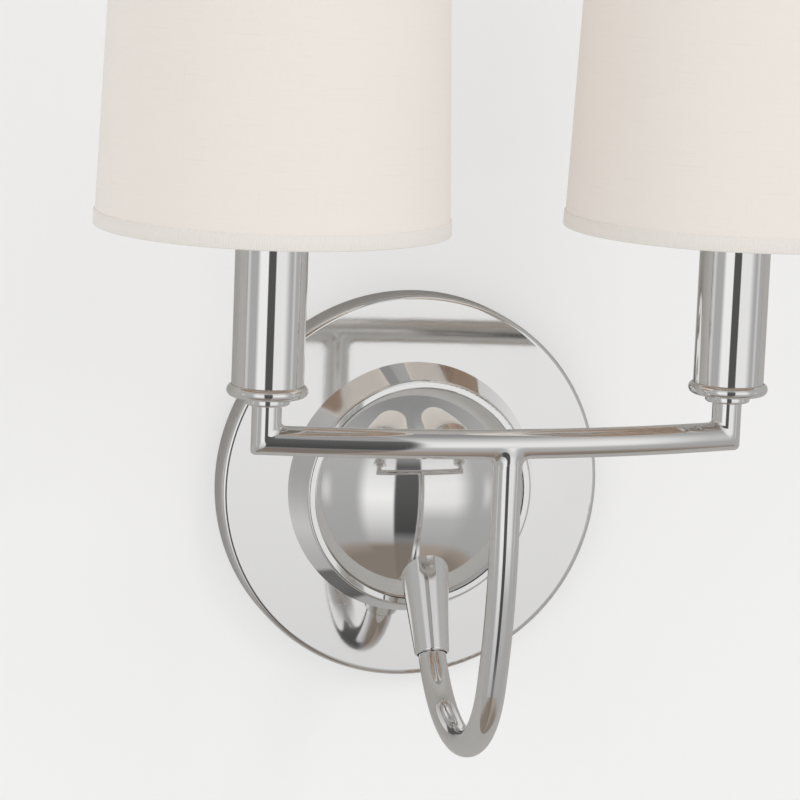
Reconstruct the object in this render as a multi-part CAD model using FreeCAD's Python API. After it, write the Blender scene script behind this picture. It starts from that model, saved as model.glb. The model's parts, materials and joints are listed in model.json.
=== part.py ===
import FreeCAD, Part
import math
import os
from FreeCAD import Vector

# Double arm wall sconce: a round wall plate with a stepped ring and a dome, a tapered
# ferrule on the dome, one tube that hooks out of it and rises to a bowed crossbar, and at
# each end of the bar a candle with its own bulb and clip-on drum shade.
#
# Millimetres, Z up. The wall is the plane y = 0 and the light stands out of it towards -Y.
# The origin is the middle of the wall plate on the wall.

# ---- wall plate ----
plate_radius = 70.0
plate_depth = 12.0          # wall to the front face
plate_wall = 1.2            # sheet thickness of the spun pan
plate_edge_round = 2.0
plate_hole_radius = 33.0    # opening behind the dome for the splices

# ---- stepped ring on the plate ----
ring_base_radius = 45.7
ring_top_radius = 41.1
ring_height = 12.6
ring_land = 2.4             # radial width of the flat land round the dome
ring_wall = 1.2
ring_top_round = 1.0
ring_stud_count = 3
ring_stud_radius = 1.5
ring_stud_length = 8.5
ring_stud_edge = 3.9        # from the foot's inner edge to a stud's axis
ring_nut_across_flats = 5.5
ring_nut_height = 2.4
ring_foot_width = 8.7       # radial width of the ring's foot on the plate

# ---- dome ----
dome_rise = 20.2            # above the ring's land
dome_wall = 1.0
dome_gap = 0.15             # round the dome in the ring's mouth
dome_flange = 1.3           # width of the flange that the ring's land traps
dome_sink = 0.2             # the ball starts this far under the land

# ---- mounting strap ----
strap_width = 20.0
strap_thickness = 1.5
strap_slot_spacing = 88.9   # screw centres of a round ceiling or wall box
strap_slot_length = 14.0
strap_slot_width = 4.8
strap_hole_radius = 5.0
strap_ear_depth = 9.0       # how far the ears stand off the wall
strap_ear_gap = 0.2         # under the pan's rim, at the ear's corners
strap_ear_bend = 2.5        # outer radius of the bend into an ear
hook_tab_width = 8.0
hook_tab_thickness = 1.2
hook_tab_drop = 5.5         # how far the pan's tab hangs down from its rim
hook_tab_place = 5.0        # wall to the middle of the tab
hook_tab_play = 0.3         # each side of the tab in the strap's slot
lock_screw_radius = 2.0
lock_screw_head_radius = 3.4
lock_screw_head_height = 2.2
lock_screw_length = 7.0
lock_screw_place = 5.0      # wall to the screw's axis
lock_screw_round = 0.8
lock_screw_play = 0.2       # round the shank in the rim
screw_slot_width = 1.0      # of the saw cut in a screw's head
screw_slot_depth = 0.9
ground_screw_place = 24.0   # below the middle
ground_screw_radius = 1.9
ground_screw_head = 8.0     # across the flats
ground_screw_head_height = 3.0
ground_screw_flange = 0.6   # how far the flange stands out past the flats
ground_screw_flange_height = 0.8

# ---- tapered ferrule ----
ferrule_lean = 22.0         # degrees off the vertical, its foot away from the wall
ferrule_nose_radius = 8.75
ferrule_end_radius = 6.55
ferrule_length = 26.3       # nose centre to mouth
ferrule_nose_out = 38.3     # nose centre from the wall
ferrule_nose_drop = 28.9    # nose centre below the plate's middle
ferrule_mouth_round = 0.7
ferrule_relief = 10.0       # length of the flared mouth that the bend starts in
ferrule_relief_radius = 6.15
ferrule_seat_depth = 7.0    # nose centre to the tube's upper end
ferrule_wire_radius = 3.3

# ---- threaded nipple, washer and nut that hold the ferrule in the dome ----
nipple_radius = 4.9
nipple_bore = 3.2
nipple_in_ferrule = 7.0     # past the dome's outer face
nipple_spare = 1.8          # past the nut
nipple_end_gap = 0.5        # to the bottom of its hole in the ferrule
washer_radius = 8.6
washer_thickness = 1.6      # at its middle
nut_across_flats = 14.0
nut_height = 3.6
nut_chamfer = 0.6           # share of a hexagon's corner that its chamfer takes
fit = 0.05                  # radial clearance of parts that are assembled and stay

# ---- arm tube and crossbar ----
tube_radius = 4.9
tube_bore = 3.9
arm_inner_bend = 47.0       # from the ferrule to the lowest point
arm_outer_bend = 38.0       # from the lowest point up to the bow
arm_bow_radius = 175.0
arm_bow_angle = 17.0        # degrees
bar_height = 38.4           # crossbar's axis above the plate's middle
bar_bow_radius = 289.0
bar_end_straight = 9.0      # straight run into each mitred corner
bar_wire_hole = 3.2         # radius of the hole over the stem
braze_radius = 2.0          # of the polished fillet between the arm and the bar
braze_bite = 0.03           # share of a tube's radius that the fillet's edge dips into it
braze_root = 0.7            # share of a tube's radius where the fillet's blank starts
braze_span = 75.0           # degrees from the middle of a fillet to where it runs out
braze_sections = 5          # on each side of the middle
candle_spacing = 158.0

# ---- candle ----
collar_radius = 6.75
collar_low = 12.4           # above the crossbar's axis
collar_height = 2.1
collar_round = 0.8
pan_radius = 13.3
pan_thickness = 4.0
pan_recess = 0.9            # the sleeve's seat below the bead's top
pan_lip = 0.1               # round the sleeve's foot
sleeve_radius = 11.8
sleeve_wall = 0.8
sleeve_height = 83.0
sleeve_round = 0.6          # of its turned-in top edge
sleeve_lip = 1.4            # how far the edge reaches in
sleeve_lip_thickness = 0.45
locknut_across_flats = 13.0
locknut_height = 3.5
riser_spare = 1.5           # thread left above the bracket
bracket_thickness = 1.2
bracket_width = 8.0
bracket_foot_radius = 7.5
bracket_head_reach = 4.0    # candle axis to the free end of the upper tab
bracket_leg_out = 8.2       # candle axis to the leg's inner face
holder_radius = 9.8
holder_height = 27.0
holder_bore = 6.9
holder_floor = 4.0
holder_drop = 0.5           # its mouth below the sleeve's top
holder_foot_height = 8.0    # of the thicker foot
holder_step = 0.8           # from the foot in to the cup
holder_chamfer = 1.0
shell_wall = 0.5
shell_lip = 2.2             # how far the shell's foot turns in
contact_radius = 2.6
contact_height = 1.6
contact_edge = 0.64         # height of the contact's straight rim
holder_screw_radius = 1.4
holder_screw_head = 2.4
holder_screw_head_height = 1.6
holder_screw_grip = 2.0     # length in the lampholder's floor

# ---- bulb ----
bulb_base_radius = 5.95
bulb_base_length = 19.5
bulb_tip_radius = 2.4
bulb_tip_length = 2.0
bulb_tip_chamfer = 0.6
bulb_neck_radius = 6.9
bulb_radius = 17.5
bulb_glass_length = 72.0
bulb_widest = 29.0          # above the glass's foot
bulb_tip_round = 4.0
bulb_tip_slope = 28.0       # degrees up the tip's ball where the flame shape meets it
bulb_low_belly = (0.70, 0.42)   # share of the way out and up, neck to widest
bulb_high_belly = (0.69, 0.50)  # share of the width and height, widest to tip
bulb_glass_wall = 0.9
bulb_gap = 0.3              # to everything that stays when the bulb turns or the shade lifts
filament_radius = 0.5
filament_length = 30.0
filament_spacing = 6.0
lead_radius = 0.25          # of the wires that carry the filaments
stem_foot_radius = 3.2
stem_head_radius = 2.0
stem_height = 12.0
stem_taper_height = 10.0    # of its cone, below the rounded head

# ---- shade ----
shade_bottom_radius = 57.7
shade_taper = 0.0365        # radius lost for each millimetre of height
shade_bottom = 107.8        # above the plate's middle
shade_height = 120.0
shade_thickness = 0.8
hem_height = 5.0
hem_thickness = 0.4
hem_inner_height = 2.2
wire_radius = 1.0
spoke_radius = 0.75
spoke_count = 3
spoke_rise_run = 14.0       # radial length of the sloping end up to the rim
spoke_bend = 5.0
spoke_overlap = 2.5         # length welded on the hub
hub_radius = 9.0
hub_thickness = 1.5
hub_hole_radius = 3.0
hub_above_bulb = 3.0
clip_wire_radius = 0.8
clip_loop_width = 13.0
clip_top_width = 7.0
clip_top_out = 5.5          # hub's axis to where a loop's wires leave it
clip_slack = 0.6            # to the bulb's widest round, past the common gap
clip_foot_rise = 1.0        # above the bulb's widest round

# ---- worked out ----
ring_top = plate_depth + ring_height
ring_mouth = ring_top_radius - ring_land
dome_rim = ring_mouth - dome_gap
dome_radius = (dome_rim ** 2 + dome_rise ** 2) / (2 * dome_rise)
dome_base = ring_top - dome_sink
ring_foot_inner = ring_base_radius - ring_foot_width
dome_centre = Vector(0, dome_radius - dome_rise - dome_base, 0)
ferrule_angle = math.radians(ferrule_lean)
ferrule_axis = Vector(0, -math.sin(ferrule_angle), -math.cos(ferrule_angle))
nose = Vector(0, -ferrule_nose_out, -ferrule_nose_drop)
nipple_axis = (nose - dome_centre).normalize()
half_spacing = candle_spacing / 2
bar_end_turn = (math.asin(half_spacing / math.hypot(bar_bow_radius, bar_end_straight))
                - math.atan2(bar_end_straight, bar_bow_radius))
collar_bottom = bar_height + collar_low
pan_bottom = collar_bottom + collar_height
pan_top = pan_bottom + pan_thickness
sleeve_foot = pan_top - pan_recess
sleeve_top = sleeve_foot + sleeve_height
locknut_top = sleeve_foot + locknut_height
holder_top = sleeve_top - holder_drop
holder_bottom = holder_top - holder_height
contact_top = holder_bottom + holder_floor + contact_height
bulb_foot = contact_top + bulb_gap
glass_foot = bulb_foot + bulb_tip_length + bulb_base_length
glass_top = glass_foot + bulb_glass_length
shade_top = shade_bottom + shade_height
hub_bottom = glass_top + hub_above_bulb
whole_reach = candle_spacing + 2 * shade_height     # more than the light's own diagonal

X, Y, Z = Vector(1, 0, 0), Vector(0, 1, 0), Vector(0, 0, 1)
ORIGIN = Vector(0, 0, 0)


# ---- shape helpers ----
def outline(points):
    """A closed flat face through the points; a pair of points is an arc (through, to)."""
    edges = []
    last = points[0]
    for item in points[1:]:
        if isinstance(item, tuple):
            edges.append(Part.Arc(last, item[0], item[1]).toShape())
            last = item[1]
        elif item.distanceToPoint(last) > 1e-7:
            edges.append(Part.makeLine(last, item))
            last = item
    if last.distanceToPoint(points[0]) > 1e-7:
        edges.append(Part.makeLine(last, points[0]))
    return Part.Face(Part.Wire(edges))


def spun(profile, centre=ORIGIN):
    """Turn a profile of (radius, height out of the wall) about the plate's axis."""
    def place(pair):
        return Vector(pair[0], -pair[1], 0)
    points = [tuple(place(p) for p in item) if isinstance(item[0], tuple) else place(item)
              for item in profile]
    return outline(points).revolve(centre, Y, 360)


def turned(profile, x, y):
    """Turn a profile of (radius, z) about an upright axis at x, y."""
    def place(pair):
        return Vector(x + pair[0], y, pair[1])
    points = [tuple(place(p) for p in item) if isinstance(item[0], tuple) else place(item)
              for item in profile]
    return outline(points).revolve(Vector(x, y, 0), Z, 360)


def arc_point(centre, radius, degrees):
    """A (radius, height) pair on a circle round a centre pair."""
    turn = math.radians(degrees)
    return (centre[0] + radius * math.cos(turn), centre[1] + radius * math.sin(turn))


def rod(radius, start, axis, length):
    return Part.makeCylinder(radius, length, start, axis)


def beyond(point, normal):
    """Everything on the far side of a plane, as far as the light reaches."""
    return Part.makeCylinder(whole_reach, whole_reach, point, normal)


def hexagon(across_flats, height, bore, start, axis, side):
    """A hexagon nut with chamfered corners; side is square to the axis, at a corner."""
    corner = across_flats / math.sqrt(3)
    points = []
    for k in range(7):
        turn = FreeCAD.Rotation(axis, 60 * k)
        points.append(start + turn.multVec(side) * corner)
    blank = Part.Face(Part.makePolygon(points)).extrude(axis * height)
    chamfer = nut_chamfer * (corner - across_flats / 2)
    crown = Part.makeCylinder(corner, height, start, axis)
    crown = crown.makeChamfer(chamfer, [e for e in crown.Edges if e.isClosed()])
    nut = blank.common(crown)
    if bore > 0:
        nut = nut.cut(rod(bore, start - axis, axis, height + 2))
    return nut


def tube(start, heading, steps, outer, inner):
    """A round tube along straight runs and tangent bends.

    A step is (length,) or (bend radius, degrees, turning axis). Returns the tube, its
    bore, its end and its end heading.
    """
    walls, bores = [], []
    here, along = Vector(start), Vector(heading)
    for step in steps:
        disc = Part.Face(Part.Wire(Part.makeCircle(outer, here, along)))
        hole = Part.Face(Part.Wire(Part.makeCircle(inner, here, along))) if inner else None
        if len(step) == 1:
            walls.append(disc.extrude(along * step[0]))
            if hole:
                bores.append(hole.extrude(along * step[0]))
            here = here + along * step[0]
        else:
            radius, degrees, axis = step
            centre = here + axis.cross(along) * radius
            walls.append(disc.revolve(centre, axis, degrees))
            if hole:
                bores.append(hole.revolve(centre, axis, degrees))
            turn = FreeCAD.Rotation(axis, degrees)
            here = centre + turn.multVec(here - centre)
            along = turn.multVec(along)
    wall = walls[0].fuse(walls[1:]) if len(walls) > 1 else walls[0]
    if not inner:
        return wall.removeSplitter(), None, here, along
    bore = bores[0].fuse(bores[1:]) if len(bores) > 1 else bores[0]
    return wall.cut(bore).removeSplitter(), bore, here, along


# ---- wall plate, ring and dome ----
def backplate():
    """The spun pan, with its hanging tab inside the rim at the top."""
    r, d, w, e = plate_radius, plate_depth, plate_wall, plate_edge_round
    inner = e - w
    pan = spun([(plate_hole_radius, d), (r - e, d),
                (arc_point((r - e, d - e), e, 45), (r, d - e)),
                (r, 0), (r - w, 0), (r - w, d - e),
                (arc_point((r - e, d - e), inner, 45), (r - e, d - w)),
                (plate_hole_radius, d - w)])
    tab = Part.makeBox(hook_tab_width, hook_tab_thickness, hook_tab_drop + w / 2,
                       Vector(-hook_tab_width / 2, -hook_tab_place - hook_tab_thickness / 2,
                              r - w - hook_tab_drop))
    pan = pan.fuse(tab).removeSplitter()
    screw_hole = rod(lock_screw_radius + lock_screw_play,
                     Vector(0, -lock_screw_place, -r - 1), Z, w + 3)
    pan = pan.cut(screw_hole)
    for place in ring_stud_places():
        pan = pan.cut(rod(ring_stud_radius + fit, place + Y, -Y, w + 2))
    return pan


def ring_stud_places():
    """Where each stud leaves the back of the plate's front sheet."""
    reach = ring_foot_inner + ring_stud_edge
    turns = [math.radians(90 + 360 / ring_stud_count * k) for k in range(ring_stud_count)]
    return [Vector(reach * math.cos(turn), plate_wall - plate_depth, reach * math.sin(turn))
            for turn in turns]


def step_ring():
    """The spun ring, a steep cone with a flat land, on a foot with three brazed studs."""
    foot, top, w = plate_depth, ring_top, ring_wall
    pocket = dome_rim + dome_flange + dome_gap
    slope = (ring_base_radius - ring_top_radius) / ring_height
    inner_top = (pocket, top - w - dome_wall)
    inner_foot = (ring_base_radius - w * math.hypot(1, slope) - slope * w, foot + w)
    ring = spun([(ring_foot_inner, foot), (ring_base_radius, foot), (ring_top_radius, top),
                 (ring_mouth, top), (ring_mouth, top - w), (pocket, top - w), inner_top,
                 inner_foot, (ring_foot_inner, foot + w)])
    corner = [e for e in ring.Edges if e.isClosed() and abs(e.BoundBox.YMin + top) < 1e-6
              and abs(e.BoundBox.XMax - ring_top_radius) < 1e-3]
    ring = ring.makeFillet(ring_top_round, corner)
    for place in ring_stud_places():
        stud = rod(ring_stud_radius, Vector(place.x, -foot - w / 2, place.z), Y,
                   ring_stud_length + w / 2)
        ring = ring.fuse(stud)
    return ring.removeSplitter()


def ring_nuts():
    """One nut on each stud, behind the plate's front sheet."""
    nuts = [hexagon(ring_nut_across_flats, ring_nut_height, ring_stud_radius + fit, place, Y, X)
            for place in ring_stud_places()]
    return Part.makeCompound(nuts)


def dome_cap():
    """The spun dome, with the flange that the ring's land traps and the nipple's hole."""
    edge, base, w = dome_rim, dome_base, dome_wall
    centre = (0.0, base - (dome_radius - dome_rise))
    apex = base + dome_rise
    inner_edge = edge - w
    inner_radius = dome_radius - w
    inner_base = centre[1] + math.sqrt(inner_radius ** 2 - inner_edge ** 2)
    rim_turn = math.degrees(math.asin(edge / dome_radius))
    inner_turn = math.degrees(math.asin(inner_edge / inner_radius))
    under = ring_top - ring_wall
    shell = spun([(0, apex),
                  (arc_point(centre, dome_radius, 90 - rim_turn / 2), (edge, base)),
                  (edge, under), (edge + dome_flange, under), (edge + dome_flange, under - w),
                  (inner_edge, under - w), (inner_edge, inner_base),
                  (arc_point(centre, inner_radius, 90 - inner_turn / 2), (0, apex - w))])
    return shell.cut(rod(nipple_radius + fit, dome_centre, nipple_axis, 2 * dome_radius))


# ---- mounting strap and its screws ----
def mounting_strap():
    """A steel strap on the wall box, its ends bent out: the top ear has the slot for the
    pan's tab and the bottom ear the tapped hole for the lock screw."""
    inside = plate_radius - plate_wall
    reach = math.sqrt(inside ** 2 - (strap_width / 2) ** 2) - strap_ear_gap
    t, bend = strap_thickness, strap_ear_bend
    outer = [Vector(0, 0, -reach + bend), Vector(0, 0, reach - bend)]
    inner = bend - t
    c45 = math.cos(math.radians(45))
    points = [outer[0], outer[1],
              (Vector(0, -bend + bend * c45, reach - bend + bend * c45), Vector(0, -bend, reach)),
              Vector(0, -strap_ear_depth, reach), Vector(0, -strap_ear_depth, reach - t),
              Vector(0, -bend, reach - t),
              (Vector(0, -bend + inner * c45, reach - bend + inner * c45),
               Vector(0, -t, reach - bend)),
              Vector(0, -t, -reach + bend),
              (Vector(0, -bend + inner * c45, -reach + bend - inner * c45),
               Vector(0, -bend, -reach + t)),
              Vector(0, -strap_ear_depth, -reach + t), Vector(0, -strap_ear_depth, -reach),
              Vector(0, -bend, -reach),
              (Vector(0, -bend + bend * c45, -reach + bend - bend * c45), outer[0])]
    strap = outline(points).extrude(X * strap_width)
    strap.translate(X * (-strap_width / 2))
    strap = strap.cut(rod(strap_hole_radius, Y, -Y, t + 2))
    for side in (-1, 1):
        middle = side * strap_slot_spacing / 2
        run = strap_slot_length - strap_slot_width
        slot = Part.makeBox(strap_slot_width, t + 2, run,
                            Vector(-strap_slot_width / 2, -t - 1, middle - run / 2))
        for end in (-run / 2, run / 2):
            slot = slot.fuse(rod(strap_slot_width / 2, Vector(0, 1, middle + end), -Y, t + 2))
        strap = strap.cut(slot.removeSplitter())
    slot_half, slot_depth = hook_tab_width / 2 + hook_tab_play, hook_tab_thickness / 2 + fit
    tab_slot = Part.makeBox(2 * slot_half, 2 * slot_depth, 3 * t,
                            Vector(-slot_half, -hook_tab_place - slot_depth, reach - 2 * t))
    strap = strap.cut(tab_slot)
    strap = strap.cut(rod(lock_screw_radius + fit, Vector(0, -lock_screw_place, -reach - t),
                          Z, 3 * t))
    return strap.cut(rod(ground_screw_radius + fit, Vector(0, 1, -ground_screw_place), -Y, t + 2))


def lock_screw():
    """The slotted screw that comes up through the rim into the strap's bottom ear."""
    foot = Vector(0, -lock_screw_place, -plate_radius)
    head = rod(lock_screw_head_radius, foot - Z * lock_screw_head_height, Z,
               lock_screw_head_height)
    low = [e for e in head.Edges if e.isClosed() and
           abs(e.BoundBox.ZMin - foot.z + lock_screw_head_height) < 1e-6]
    head = head.makeFillet(lock_screw_round, low)
    # the rim is round, so the head is cut to its curve and seats on it all round
    rim = rod(plate_radius, ORIGIN, -Y, plate_depth)
    collar = rod(lock_screw_head_radius, foot - Z * fit, Z, 1.0).cut(rim)
    shank = rod(lock_screw_radius, foot - Z * fit, Z, lock_screw_length)
    saw_cut = Part.makeBox(2 * lock_screw_head_radius + 2, screw_slot_width, screw_slot_depth,
                           foot + Vector(-lock_screw_head_radius - 1, -screw_slot_width / 2,
                                         -lock_screw_head_height))
    return head.fuse([collar, shank]).cut(saw_cut).removeSplitter()


def ground_screw():
    """The hexagon ground screw on the strap."""
    seat = Vector(0, -strap_thickness, -ground_screw_place)
    flange = rod(ground_screw_head / 2 + ground_screw_flange, seat, -Y,
                 ground_screw_flange_height)
    head = hexagon(ground_screw_head, ground_screw_head_height, 0,
                   seat - Y * ground_screw_flange_height, -Y, X)
    shank = rod(ground_screw_radius, seat, Y, strap_thickness)
    face = ground_screw_flange_height + ground_screw_head_height
    saw_cut = Part.makeBox(ground_screw_head + 2, screw_slot_depth, screw_slot_width,
                           seat + Vector(-ground_screw_head / 2 - 1, -face,
                                         -screw_slot_width / 2))
    return flange.fuse([head, shank]).cut(saw_cut).removeSplitter()


# ---- ferrule and what holds it ----
def arm_ferrule():
    """A solid tapered ferrule with a round nose, coped to the dome it stands on."""
    side = Vector(0, math.cos(ferrule_angle), -math.sin(ferrule_angle))
    taper = math.asin((ferrule_nose_radius - ferrule_end_radius) / ferrule_length)

    def at(radius, along):
        return nose + side * radius + ferrule_axis * along

    big = ferrule_nose_radius
    shoulder = at(big * math.cos(taper), big * math.sin(taper))
    turn = math.radians(45) - taper / 2
    mid_nose = at(big * math.cos(turn), -big * math.sin(turn))
    r = ferrule_mouth_round
    end = ferrule_length
    cone = outline([at(0, -big), (mid_nose, shoulder),
                    at(ferrule_end_radius + r * math.tan(taper), end - r),
                    (at(ferrule_end_radius - r * (1 - math.cos(math.radians(45))),
                        end - r * (1 - math.sin(math.radians(45)))),
                     at(ferrule_end_radius - r, end)),
                    at(0, end)]).revolve(nose, ferrule_axis, 360)
    dome = Part.makeSphere(dome_radius, dome_centre)
    cone = cone.cut(dome)
    seat = rod(tube_radius + fit, nose + ferrule_axis * ferrule_seat_depth, ferrule_axis, end)
    relief = Part.makeCone(tube_radius + fit, ferrule_relief_radius, ferrule_relief,
                           nose + ferrule_axis * (end - ferrule_relief), ferrule_axis)
    wire_way = rod(ferrule_wire_radius, nose, ferrule_axis, end)
    nipple_hole = rod(nipple_radius + fit, dome_centre, nipple_axis,
                      dome_radius + nipple_in_ferrule)
    for hole in (seat, relief, wire_way, nipple_hole):
        cone = cone.cut(hole)
    return cone.removeSplitter()


def nipple_stack():
    """The hollow threaded nipple, its saddle washer and its nut, inside the dome."""
    inside = dome_radius - dome_wall
    washer_back = inside - washer_thickness
    nut_back = washer_back - nut_height
    start = dome_centre + nipple_axis * (nut_back - nipple_spare)
    length = (dome_radius + nipple_in_ferrule - nipple_end_gap) - (nut_back - nipple_spare)
    nipple = rod(nipple_radius, start, nipple_axis, length)
    nipple = nipple.cut(rod(nipple_bore, start - nipple_axis, nipple_axis, length + 2))
    washer = rod(washer_radius, dome_centre + nipple_axis * washer_back, nipple_axis,
                 2 * washer_thickness)
    washer = washer.common(Part.makeSphere(inside, dome_centre))
    washer = washer.cut(rod(nipple_radius + fit, start, nipple_axis, length))
    nut = hexagon(nut_across_flats, nut_height, nipple_radius + fit,
                  dome_centre + nipple_axis * nut_back, nipple_axis, X)
    return nipple, washer, nut


# ---- arm and crossbar ----
def arm_route():
    """Start, heading and steps of the hooked arm up to the crossbar's axis."""
    start = nose + ferrule_axis * ferrule_seat_depth
    straight = ferrule_length - ferrule_relief - ferrule_seat_depth
    rest = 90.0 - ferrule_lean
    to_bow = 90.0 - arm_bow_angle
    steps = [(straight,), (arm_inner_bend, rest, -X), (arm_outer_bend, to_bow, -X),
             (arm_bow_radius, arm_bow_angle, -X)]
    return start, ferrule_axis, steps


def crossbar_end(side):
    """A corner of the bar: its point, and the bar's heading into it."""
    turn = bar_end_turn
    out = (bar_bow_radius * (1 - math.cos(turn)) + bar_end_straight * math.sin(turn))
    heading = Vector(side * math.cos(turn), math.sin(turn), 0)
    return Vector(side * half_spacing, bar_front + out, bar_height), heading


def mitre_plane(side):
    corner, heading = crossbar_end(side)
    return corner, (heading + Z).normalize()


def bar_solid(radius, inner, spare=0.0):
    """The bowed bar, with some spare length past its corners."""
    corner, heading = crossbar_end(-1)
    run = bar_end_straight + spare
    start = corner - heading * -spare
    degrees = 2 * math.degrees(bar_end_turn)
    return tube(start, -heading, [(run,), (bar_bow_radius, degrees, Z), (run,)], radius, inner)


def crossbar():
    """One bowed tube, mitred at both ends and pierced for the wires at the stem."""
    bar = bar_solid(tube_radius, tube_bore, spare=2 * tube_radius)[0]
    for side in (-1, 1):
        point, normal = mitre_plane(side)
        bar = bar.cut(beyond(point, normal))
    return bar.cut(rod(bar_wire_hole, Vector(0, bar_front, bar_height), -Z, 2 * tube_radius))


def hook_arm():
    """The tube that leaves the ferrule, swings out and up, and is coped to the bar."""
    start, heading, steps = arm_route()
    end = tube(start, heading, steps, tube_radius, tube_bore)[2]
    arm = tube(start, heading, steps + [(bar_height - end.z,)], tube_radius, tube_bore)[0]
    return arm.cut(bar_solid(tube_radius, 0)[0])


def arm_braze():
    """The two fillets of braze in the corners between the arm and the bar, polished.

    A cut across the bar's depth shows the same hollow corner everywhere, smaller towards
    the front and the back where the two round tubes part, so one section is scaled.
    """
    hollow = braze_radius / tube_radius
    middle = 1 + hollow - braze_bite
    inside, low = braze_root, middle - hollow
    on_arc = middle - hollow * math.cos(math.radians(45))
    bar = bar_solid(tube_radius, 0)[0]
    height = 4 * tube_radius
    post = rod(tube_radius, Vector(0, bar_front, bar_height - height), Z, height)
    fillets = []
    for side in (-1, 1):
        sections = []
        for k in range(-braze_sections, braze_sections + 1):
            turn = math.radians(braze_span * k / braze_sections)
            size = tube_radius * math.cos(turn)
            y = bar_front + tube_radius * math.sin(turn)

            def at(out, down):
                return Vector(side * size * out, y, bar_height - size * down)

            sections.append(outline([at(inside, inside), at(middle, inside), at(middle, low),
                                     (at(on_arc, on_arc), at(low, middle)),
                                     at(inside, middle)]).OuterWire)
        corner = Part.makeLoft(sections, True)
        fillets += corner.cut([bar, post]).Solids
    return Part.makeCompound(fillets)


def riser(side):
    """The upturned end of the bar: mitred at its foot, threaded above the pan."""
    corner, heading = crossbar_end(side)
    top = locknut_top + bracket_thickness + riser_spare
    start = corner - Z * 2 * tube_radius
    post = rod(tube_radius, start, Z, top - start.z)
    post = post.cut(rod(tube_bore, start - Z, Z, top - start.z + 2))
    point, normal = mitre_plane(side)
    return post.common(beyond(point, normal))


# ---- candle: collar, pan, sleeve, lampholder ----
def collar(x, y):
    r, low, high = collar_radius, collar_bottom, pan_bottom
    bore, e = tube_radius + fit, collar_round
    return turned([(bore, low), (r - e, low),
                   (arc_point((r - e, low + e), e, -45), (r, low + e)), (r, high),
                   (bore, high)], x, y)


def candle_pan(x, y):
    """The shallow dish with a full round bead that the sleeve stands in."""
    half = pan_thickness / 2
    middle = (pan_radius - half, pan_bottom + half)
    lip = sleeve_radius + pan_lip
    lip_top = middle[1] + math.sqrt(half ** 2 - (lip - middle[0]) ** 2)
    lip_turn = math.degrees(math.atan2(lip_top - middle[1], lip - middle[0]))
    return turned([(tube_radius + fit, pan_bottom), (middle[0], pan_bottom),
                   (arc_point(middle, half, (lip_turn - 90) / 2), (lip, lip_top)),
                   (lip, sleeve_foot), (tube_radius + fit, sleeve_foot)], x, y)


def candle_sleeve(x, y):
    """The plated candle tube, its top edge turned in."""
    r, w, e, top = sleeve_radius, sleeve_wall, sleeve_round, sleeve_top
    under = top - sleeve_lip_thickness
    return turned([(r - w, sleeve_foot), (r, sleeve_foot), (r, top - e),
                   (arc_point((r - e, top - e), e, 45), (r - e, top)),
                   (r - sleeve_lip, top), (r - sleeve_lip, under), (r - w, under)], x, y)


def locknut(x, y):
    return hexagon(locknut_across_flats, locknut_height, tube_radius + fit,
                   Vector(x, y, sleeve_foot), Z, X)


def socket_bracket(x, y):
    """The steel strip that screws on the riser and carries the lampholder."""
    t, half = bracket_thickness, bracket_width / 2
    foot, head, leg = locknut_top, holder_bottom, bracket_leg_out
    left, end = -bracket_foot_radius, -bracket_head_reach
    corners = [(left, foot), (leg + t, foot), (leg + t, head), (end, head), (end, head - t),
               (leg, head - t), (leg, foot + t), (left, foot + t)]
    strip = outline([Vector(x + out, y - half, z) for out, z in corners]).extrude(Y * 2 * half)
    disc = rod(bracket_foot_radius, Vector(x, y, foot), Z, t)
    strip = strip.fuse(disc).removeSplitter()
    strip = strip.cut(rod(tube_radius + fit, Vector(x, y, foot - 1), Z, t + 2))
    return strip.cut(rod(holder_screw_radius + fit, Vector(x, y, head - t - 1), Z, t + 2))


def holder_screw(x, y):
    """The screw up through the bracket into the lampholder's floor."""
    under = Vector(x, y, holder_bottom - bracket_thickness)
    head = rod(holder_screw_head, under - Z * holder_screw_head_height, Z,
               holder_screw_head_height)
    shank = rod(holder_screw_radius, under, Z, bracket_thickness + holder_screw_grip)
    return head.fuse(shank).removeSplitter()


def lampholder(x, y):
    """The moulded lampholder, a cup on a thicker foot."""
    low, top, floor = holder_bottom, holder_top, holder_bottom + holder_floor
    r, c, step = holder_radius, holder_chamfer, holder_step
    foot = low + holder_foot_height
    body = turned([(0, low), (r - c, low), (r, low + c), (r, foot), (r - step, foot + step),
                   (r - step, top), (holder_bore, top), (holder_bore, floor), (0, floor)], x, y)
    return body.cut(rod(holder_screw_radius + fit, Vector(x, y, low - 1), Z,
                        holder_screw_grip + 1 + fit))


def screw_shell(x, y):
    """The brass shell that grips the bulb's base, on a turned-in foot."""
    out, w = holder_bore - fit, shell_wall
    low = holder_bottom + holder_floor
    lip = out - shell_lip
    return turned([(out - w, holder_top), (out, holder_top), (out, low), (lip, low),
                   (lip, low + w), (out - w, low + w)], x, y)


def centre_contact(x, y):
    """The raised centre contact on the lampholder's floor."""
    low = holder_bottom + holder_floor
    return turned([(0, low), (contact_radius, low), (contact_radius, low + contact_edge),
                   (contact_radius / 2, contact_top), (0, contact_top)], x, y)


# ---- bulb ----
def bulb_base(x, y):
    """The nickel screw base, its insulator and tip, up to the glass."""
    low, c = bulb_foot, bulb_tip_chamfer
    tip_top = low + bulb_tip_length / 2
    shell = low + 1.5 * bulb_tip_length
    return turned([(0, low), (bulb_tip_radius - c, low), (bulb_tip_radius, low + c),
                   (bulb_tip_radius, tip_top), (bulb_base_radius, shell),
                   (bulb_base_radius, glass_foot), (0, glass_foot)], x, y)


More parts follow.
